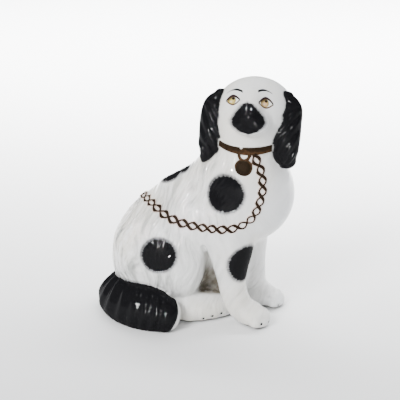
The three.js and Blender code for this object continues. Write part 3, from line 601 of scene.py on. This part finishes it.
# %% [markdown]
# ## Combed hair
#
# The mould has soft hair on it, in short strokes. On the back the strokes lean forward, and on the
# haunch they hang down and bend round its swelling. One pair of measures, across and along the
# hair, follows both. Each stroke is a narrow wave across the hair that fades in and out along it,
# and two layers of different pitch keep it from looking ploughed.

# %% Hair
HAIR_DEPTH = 0.24
# pitch across the hair, length along it, and a turn that keeps the two layers apart
HAIR_LAYERS = [(7.3, 9.0, 0.0), (4.7, 6.1, 2.0)]
BACK_LEAN = 0.49  # millimetres forward for each one up
HAUNCH_AT = (-34.0, 70.0)


def combed(p):
    """Across and along the hair, in millimetres."""
    x, y, z = p.T
    high = z - HAUNCH_AT[1]
    swell = 1 + 0.3 * np.clip(high / 50, -1, 1) ** 2
    lean = BACK_LEAN * ((high - 27) + np.sqrt((high - 27) ** 2 + 225)) / 2
    round_rump = 0.8 * (y + 45) * ease(-45, -70, x)
    along = z + 0.4 * x
    across = (x - HAUNCH_AT[0]) * swell - lean - round_rump
    return across + 2.2 * np.sin(along / 13 + x / 9) + 1.2 * np.sin(along / 6 - x / 7), along


def hairy(p):
    """1 where the hair is long: the back, the rump and the haunch."""
    x, y, z = p.T
    smooth = 0.65 * ease(-34, -6, x) * ease(116, 98, z)  # the haunch towards the knee
    return ease(52, 18, x) * ease(182, 165, z) * ease(20, 38, z) * (1 - smooth)


def hair(p):
    across, along = combed(p)
    total = np.zeros(len(p))
    for pitch, length, turn in HAIR_LAYERS:
        warp = 1.9 * np.sin(along / length + across / pitch + turn)
        warp += 1.2 * np.sin(2.1 * along / length - 0.6 * across / pitch)
        lines = np.sin(2 * pi * across / pitch + warp)
        dashes = np.sin(1.8 * along / length + 2.4 * np.sin(1.3 * across / pitch) + turn)
        total += lines * (0.5 + 0.5 * dashes)
    return HAIR_DEPTH * total * hairy(p) * ease(12, -6, p[:, 1])


# %% [markdown]
# ## The whole skin
#
# The order matters: hair first, because paws, head, ears and tail are pressed over it.

# %% The dog
def dog(p):
    d = coat(p)
    d = d - hair(p) * ease(8, 3, np.abs(d))
    d = added(d, p, near_paw, 6)
    d = added(d, p, far_paw, 6)
    d = added(d, p, near_foot, 4)
    d = added(d, p, far_foot, 6)
    for toe in toes:
        d = added(d, p, toe, 4)
    d = added(d, p, chain, 0.8)
    d = added(d, p, skull, 9)
    d = added(d, p, cheeks, 12)
    d = d - collar_rise(p)
    d = added(d, p, locket, 1)
    d = added(d, p, shackle, 1)
    for dip in eye_hollows:
        d = carved(d, p, dip, 8)
    d = added(d, p, nose_bridge, 9)
    for flew in flews:
        d = added(d, p, flew, 5)
    d = added(d, p, chin, 2.5)
    d = added(d, p, nose, 2.5)
    d = added(d, p, left_ear, 2.5)
    d = added(d, p, right_ear, 2.5)
    return added(d, p, tail, 2.5)


# %% [markdown]
# ## The mesh
#
# A copy of the CAD node's mesh is the start, so that the piece is where the CAD says. Its loose
# triangles are merged, and a voxel remesh gives it small even faces. They are halved on the display
# side, and once more where the work is finest: at the chain, the collar and the locket.

# %% An even mesh from the cast
VOXEL = 2.4
MERGE = 1e-6


def even_copy(source):
    form = bmesh.new()
    form.from_mesh(source.data)
    bmesh.ops.remove_doubles(form, verts=form.verts, dist=MERGE)
    mesh = bpy.data.meshes.new("spaniel_cast")
    form.to_mesh(mesh)
    form.free()
    rough = bpy.data.objects.new("spaniel_rough", mesh)
    bpy.context.scene.collection.objects.link(rough)
    remesh = rough.modifiers.new("even", "REMESH")
    remesh.mode = "VOXEL"
    remesh.voxel_size = VOXEL * MM
    bpy.context.view_layer.update()
    depsgraph = bpy.context.evaluated_depsgraph_get()
    even = bpy.data.meshes.new_from_object(rough.evaluated_get(depsgraph))
    bpy.data.objects.remove(rough)
    return even


skin = even_copy(cast)
print("the even mesh has", len(skin.polygons), "faces")


# %% [markdown]
# Each point goes along the slope of the distance until it lies on the skin. A step is kept short, so
# that no point leaps out of a crease, and the points that stand on the floor stay on it. At the end
# no point is let out of the box of the CAD model.

# %% Pressing the mesh on to the skin
LONGEST_STEP = 0.6
FOOTING = 0.3


def places(mesh):
    co = np.empty(len(mesh.vertices) * 3)
    mesh.vertices.foreach_get("co", co)
    return to_sculptor(co.reshape(-1, 3))


def press(mesh, rounds):
    p = places(mesh)
    base = p[:, 2] < FOOTING
    p[base, 2] = 0
    for _ in range(rounds):
        d = dog(p)
        slope = np.stack([dog(p + 0.05 * axis) - d for axis in np.eye(3)], axis=1) / 0.05
        slope[base, 2] = 0
        steep = np.maximum((slope ** 2).sum(axis=1), 0.3)
        step = np.clip(d / steep, -LONGEST_STEP, LONGEST_STEP)
        moving = ~(base & (d < -1))
        p[moving] -= (step[:, None] * slope)[moving]
        p[:, 2] = np.maximum(p[:, 2], 0)
    mesh.vertices.foreach_set("co", to_scene(p).ravel())
    mesh.update()
    print(len(p), "points, most within", round(float(np.quantile(np.abs(d[~base]), 0.98)), 3), "mm")


press(skin, 3)


# %% Smaller faces on the display side, and smaller still at the chain, collar and locket
def refine(mesh, rule):
    """Halves the edges at the points that the rule picks."""
    form = bmesh.new()
    form.from_mesh(mesh)
    form.verts.ensure_lookup_table()
    picked = rule(places(mesh))
    edges = [e for e in form.edges if picked[e.verts[0].index] and picked[e.verts[1].index]]
    bmesh.ops.subdivide_edges(form, edges=edges, cuts=1, use_grid_fill=True)
    form.to_mesh(mesh)
    form.free()


def display_side(p):
    return (p[:, 1] < 4) & (p[:, 2] > 1)


def trim(p):
    collar = (np.abs(collar_off(p)) < COLLAR_WIDTH / 2 + 1.5) & (p[:, 0] > 5) & (p[:, 2] > 160)
    return collar | (locket.at(p) < 2) | (shackle.at(p) < 2) | (chain.at(p) < 1.6)


refine(skin, display_side)
press(skin, 2)
refine(skin, trim)
press(skin, 2)
p = np.clip(to_scene(places(skin)), *[np.array(corner) for corner in cad_box])
skin.vertices.foreach_set("co", p.ravel())
for face in skin.polygons:
    face.use_smooth = True
triangles = sum(len(face.vertices) - 2 for face in skin.polygons)
print("the fine mesh has", triangles, "triangles")

# %% [markdown]
# ## Where the paint goes
#
# The painter works on what is seen from the front, so most of the marks are placed by pixels of the
# 400-pixel picture: a ray from the lens finds the same place on the dog. Each edge of the paint is
# stored in the mesh as a distance in millimetres. The material turns the distance into an edge of
# any sharpness, which a stored colour can't give.

# %% Rays from the lens
surface = BVHTree.FromPolygons(
    [v.co for v in skin.vertices], [list(face.vertices) for face in skin.polygons])


def touch(px, py):
    """The place on the dog, in sculptor's millimetres, that shows at a pixel."""
    ray = RIGHT * (px - PICTURE / 2) - UP * (py - PICTURE / 2) - BACK * VIEW_DISTANCE
    hit = surface.ray_cast(Vector(to_scene(LENS_AT)), Vector(ray).normalized())
    return to_sculptor(hit[0])


def seen(p):
    """The pixel at which each point shows."""
    off = p - LENS_AT
    depth = -off @ BACK
    right = VIEW_DISTANCE * (off @ RIGHT) / depth
    up = VIEW_DISTANCE * (off @ UP) / depth
    return PICTURE / 2 + right, PICTURE / 2 - up


print("the left eye is at", touch(232.9, 100.7).round(1), "and the nose at", touch(249, 112).round(1))

# %% Black enamel: ears, tail, muzzle and patches
EDGE_REACH = 30.0  # distances are not needed beyond this
PAST_THE_JOIN = 0.9  # how far the black of an ear or of the tail runs out past its form
TAIL_END = (178.3, 311.0)  # pixel where the tail's black reaches furthest to the right
TAIL_END_BOW = 0.02
CLAW_DOT = 1.35
# middle and radius
PATCHES = {
    "shoulder": (touch(225.5, 194.4), 18.6),
    "haunch": (touch(158.6, 256.2), 17.6),
    "foreleg": (touch(245.6, 263.5), 18.8),
    "back": (touch(170.5, 180.5) + (0, 12, 3), 12.6),
    "neck": (touch(184.5, 171.5) + (0, 5, 2), 6.3),
}
# half the width of the muzzle's black, in pixels, at heights in pixels
MUZZLE_ROWS = [102.4, 104, 108, 112, 116, 120.5, 124, 126, 129, 132, 134.6]
MUZZLE_HALF = [0.0, 5.2, 8.9, 12.4, 15.4, 17.1, 17.2, 16.0, 13.0, 9.0, 0.0]
# dots of black along the toes, by pixel
CLAWS = [(203.5, 318.6), (212.5, 316.1), (221.5, 313.3), (261.5, 324.2), (268.6, 322), (278.6, 304.8)]


def muzzle_middle(row):
    return 247.4 + 0.05 * (row - 106)


p = places(skin)
enamel = np.full(len(p), EDGE_REACH)
feather = np.zeros(len(p))
bristle = np.zeros((len(p), 3))


def lay(distance, softness, run):
    """Lays one area of black: its distance, how ragged its edge is, and what varies along the edge."""
    nearer = distance < enamel
    enamel[nearer] = distance[nearer]
    feather[nearer] = softness
    bristle[nearer] = run[nearer]


seen_x, seen_y = seen(p)
bowed = seen_x - TAIL_END[0] + TAIL_END_BOW * (seen_y - TAIL_END[1]) ** 2
tail_end = np.where(p[:, 1] < -30, bowed, -EDGE_REACH)
for form, softness in ((left_ear, 0.5), (right_ear, 0.5), (tail, 0.35)):
    near = clearance(p, form) < 12
    distance = np.full(len(p), EDGE_REACH)
    distance[near] = form.at(p[near]) - PAST_THE_JOIN
    if form is tail:
        distance = np.maximum(distance, tail_end)
    run = np.zeros((len(p), 3))
    run[near] = form.value(form.nearest(p[near]))[:, :3]
    lay(distance, softness, run)
off_ears = enamel.copy()
for middle, radius in PATCHES.values():
    off = p - middle
    away = np.linalg.norm(off, axis=1)
    lay(away - radius, 1.8, unit(off) * radius + away[:, None] * 0.1)
off_x = seen_x - muzzle_middle(seen_y)
half = np.interp(seen_y, MUZZLE_ROWS, MUZZLE_HALF)
over = np.maximum(MUZZLE_ROWS[0] - seen_y, seen_y - MUZZLE_ROWS[-1])
distance = np.where(over > 0, np.hypot(over, off_x), (np.abs(off_x) - half) * 0.8)
face_front = (p[:, 1] < -30) & (p[:, 2] > 192)
angle = np.stack([off_x, seen_y - 120, 0 * off_x], axis=1)
lay(np.where(face_front, distance, EDGE_REACH), 1.4, unit(angle) * 14 + angle * 0.1)
for pixel in CLAWS:
    lay(np.linalg.norm(p - touch(*pixel), axis=1) - CLAW_DOT, 0.05, p)
print("black covers", round(float((enamel < 0).mean()), 2), "of the points")

# %% Gilding: collar, locket, shackle and the chain's strands
STROKE_THIN = 0.9  # half the width of the gilder's line
STROKE_THICK = 1.65  # and where it falls to the right, as a flat brush leaves it
COLLAR_BAND = 3.1  # half the width of the gilt band at its left
COLLAR_BAND_MORE = 1.1  # and how much is added towards its right


def chain_ink(p):
    """The distance to the gilder's two lines."""
    phase, side, rise, over, along, across = chain_place(p)
    swing = np.sin(phase) * (LINK_HALF_WIDTH - CHAIN_WIRE)
    slant = np.cos(phase) * pi * (LINK_HALF_WIDTH - CHAIN_WIRE) / LINK_PITCH
    inks = []
    for turn in (1, -1):
        path = along + across * (turn * slant)[:, None]
        across_view = path @ RIGHT
        up_view = path @ UP
        falling = -2 * across_view * up_view / (across_view ** 2 + up_view ** 2)
        width = STROKE_THIN + (STROKE_THICK - STROKE_THIN) * ease(-0.1, 1, falling)
        strand = np.abs(side - turn * swing) / np.sqrt(1 + slant ** 2)
        inks.append(np.hypot(strand, np.maximum(np.abs(rise) - 3, 0) + np.abs(over)) - width)
    return np.minimum(*inks)


gilt = np.full(len(p), EDGE_REACH)
round_neck = (p[:, 0] > 8) & (p[:, 2] > 160) & (p[:, 2] < 210)
collar_half = COLLAR_BAND + COLLAR_BAND_MORE * ease(24, 58, p[:, 0])
gilt[round_neck] = np.abs(collar_off(p[round_neck])) - collar_half[round_neck]
gilt = np.maximum(gilt, 0.3 - off_ears)
near = np.minimum(locket.at(p), shackle.at(p))
gilt = np.minimum(gilt, (near - 0.35) * 4)
near_path = clearance(p, chain_band) < 4
links = np.full(len(p), EDGE_REACH)
links[near_path] = chain_ink(p[near_path])
gilt = np.minimum(gilt, links)
# how warm the gold is: the collar's lower right edge, the rims of the locket, and the shackle
low_edge = ease(0.2, -0.8, collar_off(p) / collar_half) * ease(20, 52, p[:, 0])
from_locket = np.linalg.norm((p - LOCKET)[:, [0, 2]], axis=1)
gilt_warmth = np.where(links < 1.2, 0.12, 0.15 + 0.85 * low_edge)
gilt_warmth[near < 1] = 0.03 + 0.7 * ease(6.6, 7.8, from_locket[near < 1])
gilt_chain = ease(1.4, 1.0, links)

# %% Painted shade in the recess, and hair
# the recess between the near foreleg and the haunch is painted dark, mostly as painted shade and
# partly as brown dirt, found by its depth and by pixels
deep = ease(-34, -26, p[:, 1]) * ease(2, -5, p[:, 1]) * ease(196, 202, seen_x) * ease(226, 221, seen_x)
recess_shade_and_dirt = deep * ease(255, 277, seen_y) * ease(296, 292, seen_y)
across, along = combed(p)
hair_vector = np.stack([across, along * 0.24, p[:, 1] * 0.1], axis=1)
wrinkled = 0.3 * ease(60, 40, p[:, 2])  # the feet and paws
hair_and_edge_shade = np.maximum(0.1 + 0.9 * hairy(p), wrinkled)
# towards the rump's left edge the painted hair is made stronger, which darkens that edge as painted shade
hair_and_edge_shade = hair_and_edge_shade * (1 + 0.9 * ease(-48, -74, p[:, 0])) * ease(-0.5, 1.5, enamel)


def store(name, values):
    kind = "FLOAT" if values.ndim == 1 else "FLOAT_VECTOR"
    field = "value" if values.ndim == 1 else "vector"
    made = skin.attributes.new(name, kind, "POINT")
    made.data.foreach_set(field, values.astype(np.float32).ravel())


for name, values in {
    "enamel": enamel, "feather": feather, "bristle": bristle, "gilt": gilt,
    "gilt_warmth": gilt_warmth, "gilt_chain": gilt_chain, "recess_shade_and_dirt": recess_shade_and_dirt, "hair": hair_vector,
    "hair_and_edge_shade": hair_and_edge_shade,
}.items():
    store(name, values)
print("stored", [a.name for a in skin.attributes if not a.name.startswith(".")])

# %% [markdown]
# ## A material as a formula
#
# The paint is a long formula, and a hundred loose nodes would hide it. A tone wraps one number of
# the shader, so that sums, products and comparisons of tones can be written as plain Python. Each
# operator adds its Math node.

# %% Tones
class Tone:
    def __init__(self, tree, socket):
        self.tree = tree
        self.socket = socket

    def math(self, operation, *others, clamp=False):
        node = self.tree.nodes.new("ShaderNodeMath")
        node.operation = operation
        node.use_clamp = clamp
        for socket, value in zip(node.inputs, (self, *others)):
            if isinstance(value, Tone):
                self.tree.links.new(value.socket, socket)
            else:
                socket.default_value = value
        return Tone(self.tree, node.outputs[0])

    def __add__(self, other):
        return self.math("ADD", other)

    def __sub__(self, other):
        return self.math("SUBTRACT", other)

    def __mul__(self, other):
        return self.math("MULTIPLY", other)

    def least(self, other):
        return self.math("MINIMUM", other)

    def size(self):
        return self.math("ABSOLUTE")

    def ramp(self, low, high):
        """0 at low and 1 at high, with soft ends."""
        node = self.tree.nodes.new("ShaderNodeMapRange")
        node.interpolation_type = "SMOOTHSTEP"
        self.tree.links.new(self.socket, node.inputs["Value"])
        node.inputs["From Min"].default_value = low
        node.inputs["From Max"].default_value = high
        if low > high:
            node.inputs["From Min"].default_value = high
            node.inputs["From Max"].default_value = low
            node.inputs["To Min"].default_value = 1
            node.inputs["To Max"].default_value = 0
        return Tone(self.tree, node.outputs["Result"])


def stored(tree, name, vector=False):
    node = tree.nodes.new("ShaderNodeAttribute")
    node.attribute_name = name
    return node.outputs["Vector"] if vector else Tone(tree, node.outputs["Fac"])


def noise(tree, vector, scale, detail=2.0, roughness=0.5):
    node = tree.nodes.new("ShaderNodeTexNoise")
    tree.links.new(vector, node.inputs["Vector"])
    node.inputs["Scale"].default_value = scale
    node.inputs["Detail"].default_value = detail
    node.inputs["Roughness"].default_value = roughness
    return Tone(tree, node.outputs["Fac"])


def mixed(tree, share, first, second):
    """A colour between two: each is a colour or the socket of one."""
    node = tree.nodes.new("ShaderNodeMix")
    node.data_type = "RGBA"
    tree.links.new(share.socket, node.inputs["Factor"])
    for socket, value in ((node.inputs["A"], first), (node.inputs["B"], second)):
        if isinstance(value, bpy.types.NodeSocket):
            tree.links.new(value, socket)
        else:
            socket.default_value = (*value, 1)
    return node.outputs["Result"]


# %% [markdown]
# ## The painted face
#
# Eyes and brows are brush marks on a flat glaze, so they are drawn in the material and nothing is
# raised. Each mark has a middle on the dog, found by its pixel, and is measured from there to the
# right and upwards as the camera sees it.

# %% Eyes
def on_face(tree, pixel):
    """Millimetres to the right of and above a pixel's place on the dog, as two tones."""
    middle = to_scene(touch(*pixel))
    spot = tree.nodes.new("ShaderNodeTexCoord").outputs["Object"]
    tones = []
    for axis in (RIGHT, UP):
        node = tree.nodes.new("ShaderNodeVectorMath")
        node.operation = "DOT_PRODUCT"
        tree.links.new(spot, node.inputs[0])
        node.inputs[1].default_value = axis
        tones.append((Tone(tree, node.outputs["Value"]) - float(middle @ axis)) * (1 / MM))
    return tones


def near_round(u, v, u0, v0, radius, soft=0.35):
    """1 inside a round mark and 0 outside it."""
    away = ((u - u0) * (u - u0) + (v - v0) * (v - v0)).math("SQRT")
    return away.ramp(radius + soft, radius - soft)


EYES = [
    # pixel of the middle, half width, rise of the upper lid, drop of the lower lid, tilt,
    # middle and radius of the iris, its colour, middle of the pupil
    ((233.0, 100.3), 6.2, 4.5, 4.1, 0.03, (-1.2, 0.0, 3.9), (0.50, 0.40, 0.13), (0.3, 1.6)),
    ((265.9, 103.95), 7.1, 5.6, 3.8, -0.05, (-1.1, 0.6, 4.0), (0.60, 0.39, 0.20), (0.1, 2.3)),
]
PUPIL = 1.25
LID_BULGE = 1.8
EYE_WHITE = (0.66, 0.66, 0.62)
IRIS_RIM = (0.26, 0.19, 0.06)
LINE_BROWN = (0.022, 0.012, 0.014)
LOWER_LINE = (0.075, 0.042, 0.028)
SOOT = (0.012, 0.010, 0.010)
LID_SHADE = (0.05, 0.036, 0.018)
BROW_BLACK = (0.018, 0.018, 0.019)


def paint_eye(tree, under, face, eye):
    pixel, half, rise, drop, tilt, (iris_u, iris_v, iris_size), iris_colour, pupil = eye
    u, v = on_face(tree, pixel)
    v = v - u * tilt
    across = u * (1 / half)
    bow = across.size().math("POWER", LID_BULGE) * -1.0 + 1.0
    top = bow * rise - v
    bottom = v + bow * drop
    inside = top.least(bottom)
    open_eye = inside.ramp(-0.2, 0.2) * face
    colour = mixed(tree, open_eye, under, EYE_WHITE)
    disc = near_round(u, v, iris_u, iris_v, iris_size) * open_eye
    middle = near_round(u, v, iris_u, iris_v - 0.8, iris_size * 0.6, 1.4)
    colour = mixed(tree, disc, colour, mixed(tree, middle, IRIS_RIM, iris_colour))
    # a painted highlight: a small white spot in the iris
    eye_highlight = near_round(u, v, iris_u - 0.6, iris_v - 1.2, 0.8, 0.6) * open_eye * 0.5
    colour = mixed(tree, eye_highlight, colour, EYE_WHITE)
    shade = top.ramp(4.4, 1.4) * near_round(u, v, iris_u, iris_v + 1.0, iris_size - 0.3, 0.6) * open_eye
    colour = mixed(tree, shade * 0.9, colour, LID_SHADE)
    colour = mixed(tree, near_round(u, v, *pupil, PUPIL) * open_eye, colour, SOOT)
    ends = across.size().ramp(1.06, 0.98) * face
    lower = bottom.size().ramp(1.05, 0.45) * ends
    upper = top.size().ramp(1.55, 0.8) * ends
    colour = mixed(tree, lower, colour, LOWER_LINE)
    return mixed(tree, upper, colour, LINE_BROWN)


# %% Brows
BROWS = [
    # pixel of the top, side of the thick end, bend, length of the thin and of the thick part
    ((235.0, 89.5), 1, 0.056, 7.9, 7.2),
    ((263.6, 90.2), -1, 0.048, 8.2, 5.5),
]


def paint_brow(tree, under, face, brow):
    pixel, side, bend, thin_part, thick_part = brow
    u, v = on_face(tree, pixel)
    along = u * float(side)
    width = along.ramp(-thin_part, thick_part * 0.6) * 0.86 + 0.42
    away = (v + u * u * bend).size()
    stroke = (width - away).ramp(-0.15, 0.25)
    ends = along.ramp(-thin_part - 0.8, -thin_part + 0.8) * along.ramp(thick_part + 0.3, thick_part - 0.5)
    return mixed(tree, stroke * ends * face, under, BROW_BLACK)


# %% [markdown]
# ## The brushed edge
#
# Black enamel and gilding both end in an edge that a brush has left. One node group makes it: noise
# along the edge pushes the stored distance in and out, and a soft step turns it into a mask. It is
# used for both kinds of paint, each with its own values.

# %% A node group for brushed edges
def brushed_edge():
    group = bpy.data.node_groups.new("brushed edge", "ShaderNodeTree")
    face = group.interface
    face.new_socket("Distance", in_out="INPUT", socket_type="NodeSocketFloat")
    face.new_socket("Run", in_out="INPUT", socket_type="NodeSocketVector")
    face.new_socket("Bristles", in_out="INPUT", socket_type="NodeSocketFloat")
    face.new_socket("Ragged", in_out="INPUT", socket_type="NodeSocketFloat")
    face.new_socket("Softness", in_out="INPUT", socket_type="NodeSocketFloat")
    face.new_socket("Mask", in_out="OUTPUT", socket_type="NodeSocketFloat")
    entry = group.nodes.new("NodeGroupInput")
    leave = group.nodes.new("NodeGroupOutput")
    grain = noise(group, entry.outputs["Run"], 1.0, detail=4.0, roughness=0.65)
    group.links.new(entry.outputs["Bristles"], grain.socket.node.inputs["Scale"])
    push = (grain - 0.5) * Tone(group, entry.outputs["Ragged"]) * 2.4
    edge = Tone(group, entry.outputs["Distance"]) + push
    soft = Tone(group, entry.outputs["Softness"])
    mask = (edge.math("DIVIDE", soft) * -0.5).math("ADD", 0.5, clamp=True)
    group.links.new(mask.socket, leave.inputs["Mask"])
    return group


BRUSHED = brushed_edge()


def brushed(tree, distance, run, bristles, ragged, softness):
    node = tree.nodes.new("ShaderNodeGroup")
    node.node_tree = BRUSHED
    for name, value in (("Distance", distance), ("Ragged", ragged), ("Softness", softness)):
        if isinstance(value, Tone):
            tree.links.new(value.socket, node.inputs[name])
        else:
            node.inputs[name].default_value = value
    tree.links.new(run, node.inputs["Run"])
    node.inputs["Bristles"].default_value = bristles
    return Tone(tree, node.outputs["Mask"])


# %% [markdown]
# ## Painted and glazed earthenware
#
# White body under clear glaze: a pale diffuse colour with a hard clear coat on it. The glaze is
# never quite even, so it has a faint warm and cool drift and a soft unevenness that breaks up its
# reflections. Towards the front, on the right, the white is painted cooler and darker as painted
# shade. The hair's grooves are painted darker, partly glaze pooled in them and partly painted shade,
# and its ridges lighter as a painted highlight. The patches and the muzzle have a grey halo, and their
# black is thin at its edge. The coat is weaker on black, which shows every reflection of the pale room.

# %% The glaze
WHITE = (0.655, 0.655, 0.645)
CREAM = (0.640, 0.620, 0.570)
COOL_TINT_AND_SHADE = (0.600, 0.615, 0.640)
BLACK = (0.0055, 0.0055, 0.0062)
WORN_BLACK = (0.022, 0.022, 0.024)
GILT_DARK = (0.012, 0.0085, 0.0055)
GILT_WARM = (0.055, 0.029, 0.014)
GILT_PALE = (0.120, 0.070, 0.036)
RECESS_SHADE_AND_DIRT = (0.125, 0.110, 0.085)
GROOVE_POOL_AND_SHADE = (0.27, 0.28, 0.265)
RIDGE_HIGHLIGHT = (0.80, 0.80, 0.79)
HALO = (0.16, 0.16, 0.18)
RIM_RED = (0.60, 0.33, 0.24)
RIM_AND_CONTACT_SHADOW = (0.030, 0.026, 0.020)
CLASP_HIGHLIGHT = (241.2, 147.6)  # pixel of a painted highlight, a pale spot on the collar's top edge
BODY_ROUGHNESS = 0.34
GOLD_ROUGHNESS = 0.06  # added on gold
GOLD_METAL = 0.04
COAT_WEIGHT = 0.8
COAT_OFF_BLACK = -0.7  # added on black
COAT_OFF_GOLD = -0.9
COAT_ROUGHNESS = 0.03
COAT_IOR = 1.45
BUMP_STRENGTH = 0.9
BUMP_DEPTH = 1.5  # millimetres


def glaze_material():
    made = material_named("painted_glaze")
    tree = made.node_tree
    shader = tree.nodes["Principled BSDF"]
    spot = tree.nodes.new("ShaderNodeTexCoord").outputs["Object"]
    split = tree.nodes.new("ShaderNodeSeparateXYZ")
    tree.links.new(spot, split.inputs["Vector"])
    x = (Tone(tree, split.outputs["X"]) * (1 / MM)) + float(MIDDLE[0])
    y = (Tone(tree, split.outputs["Y"]) * (1 / MM)) + float(MIDDLE[1])
    z = Tone(tree, split.outputs["Z"]) * (1 / MM)
    run = stored(tree, "bristle", vector=True)

    drift = noise(tree, spot, 14.0, detail=3.0)
    mottle = noise(tree, spot, 110.0, detail=3.0)
    colour = mixed(tree, drift.ramp(0.42, 0.62), WHITE, CREAM)
    # painted shade: the dog's front, to the right, is made cooler and darker
    colour = mixed(tree, x.ramp(50, 95) * 0.7, colour, COOL_TINT_AND_SHADE)
    # a cool tint at random, as the glaze varies
    colour = mixed(tree, mottle.ramp(0.55, 0.75) * 0.18, colour, COOL_TINT_AND_SHADE)
    comb = stored(tree, "hair", vector=True)
    share = stored(tree, "hair_and_edge_shade")
    fine = noise(tree, comb, 0.17, detail=3.5, roughness=0.55)
    # the hair's grooves are painted darker, partly glaze pooled in them and partly painted shade, and its
    # ridges lighter as a painted highlight
    colour = mixed(tree, fine.ramp(0.5, 0.33) * share * 0.6, colour, GROOVE_POOL_AND_SHADE)
    colour = mixed(tree, fine.ramp(0.52, 0.66) * share * 0.6, colour, RIDGE_HIGHLIGHT)

    recess_shade_and_dirt = stored(tree, "recess_shade_and_dirt")
    # painted shade, with some brown dirt, in the recess between the near foreleg and the haunch
    colour = mixed(tree, (recess_shade_and_dirt * (mottle + 0.45)).math("ADD", 0.0, clamp=True), colour, RECESS_SHADE_AND_DIRT)
    # a painted contact shadow along the base, with the dark of the unglazed rim
    rim_and_contact_shadow = (z + mottle * 1.2).ramp(4.0, 2.4)
    colour = mixed(tree, rim_and_contact_shadow * 0.95, colour, RIM_AND_CONTACT_SHADOW)

    face = y.ramp(-18, -22) * z.ramp(190, 196)
    for eye in EYES:
        colour = paint_eye(tree, colour, face, eye)
    for brow in BROWS:
        colour = paint_brow(tree, colour, face, brow)

    distance = stored(tree, "enamel")
    feather = stored(tree, "feather")
    patchy = feather.ramp(0.6, 1.2)
    halo = (distance + (mottle - 0.5) * 3.0).ramp(3.4, 0.2) * patchy
    colour = mixed(tree, halo * 0.5, colour, HALO)
    black = brushed(tree, distance, run, 0.5, feather * 1.05, feather * 0.8 + 0.1)
    thin = distance.ramp(-2.5, 0.0) * mottle.ramp(0.4, 0.7) * patchy
    enamel = mixed(tree, thin, BLACK, WORN_BLACK)
    colour = mixed(tree, black, colour, enamel)

    gilt = stored(tree, "gilt")
    gilding = brushed(tree, gilt, spot, 900.0, 0.35, 0.3)
    colour = mixed(tree, gilt.ramp(0.9, 0.2) * stored(tree, "gilt_chain") * 0.4, colour, RIM_RED)
    wear = noise(tree, spot, 260.0, detail=3.0)
    warm = stored(tree, "gilt_warmth") * (wear.ramp(0.3, 0.6) * 0.7 + 0.3)
    gold = mixed(tree, warm, GILT_DARK, GILT_WARM)
    gold = mixed(tree, wear.ramp(0.62, 0.8) * warm, gold, GILT_PALE)
    colour = mixed(tree, gilding, colour, gold)
    # a painted highlight: a pale spot on the collar's top edge, at its clasp
    clasp_highlight = near_round(*on_face(tree, CLASP_HIGHLIGHT), 0.0, 0.0, 1.3, 0.5) * y.ramp(-20, -24)
    colour = mixed(tree, clasp_highlight * 0.9, colour, CREAM)
    tree.links.new(colour, shader.inputs["Base Color"])

    roughness = gilding * GOLD_ROUGHNESS + BODY_ROUGHNESS
    tree.links.new(roughness.socket, shader.inputs["Roughness"])
    tree.links.new((gilding * GOLD_METAL).socket, shader.inputs["Metallic"])
    shader.inputs["Specular IOR Level"].default_value = 0.0
    coat_off = black * COAT_OFF_BLACK + gilding * COAT_OFF_GOLD
    coat_weight = coat_off.math("ADD", COAT_WEIGHT, clamp=True)
    tree.links.new(coat_weight.socket, shader.inputs["Coat Weight"])
    shader.inputs["Coat Roughness"].default_value = COAT_ROUGHNESS
    shader.inputs["Coat IOR"].default_value = COAT_IOR

    uneven = noise(tree, spot, 75.0, detail=2.0) * (share * 3.0).least(0.5)
    height = noise(tree, comb, 0.21, detail=1.6) * share * 3.6 + uneven * 2.0
    bump = tree.nodes.new("ShaderNodeBump")
    bump.inputs["Strength"].default_value = BUMP_STRENGTH
    bump.inputs["Distance"].default_value = BUMP_DEPTH * MM
    tree.links.new(height.socket, bump.inputs["Height"])
    tree.links.new(bump.outputs["Normal"], shader.inputs["Normal"])
    tree.links.new(bump.outputs["Normal"], shader.inputs["Coat Normal"])
    print("the glaze has", len(tree.nodes), "nodes")
    return made


skin.materials.clear()
skin.materials.append(glaze_material())

# %% [markdown]
# ## The finished piece
#
# The dog's object sits at the origin, because its place is in its mesh. It stands for the plain CAD
# solid, which stays hidden and carries the collisions.

# %% The spaniel
spaniel = bpy.data.objects.new("spaniel_glazed", skin)
bpy.context.scene.collection.objects.link(spaniel)
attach(spaniel, "root")
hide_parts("spaniel")

# %% A last update of the scene
bpy.context.view_layer.update()
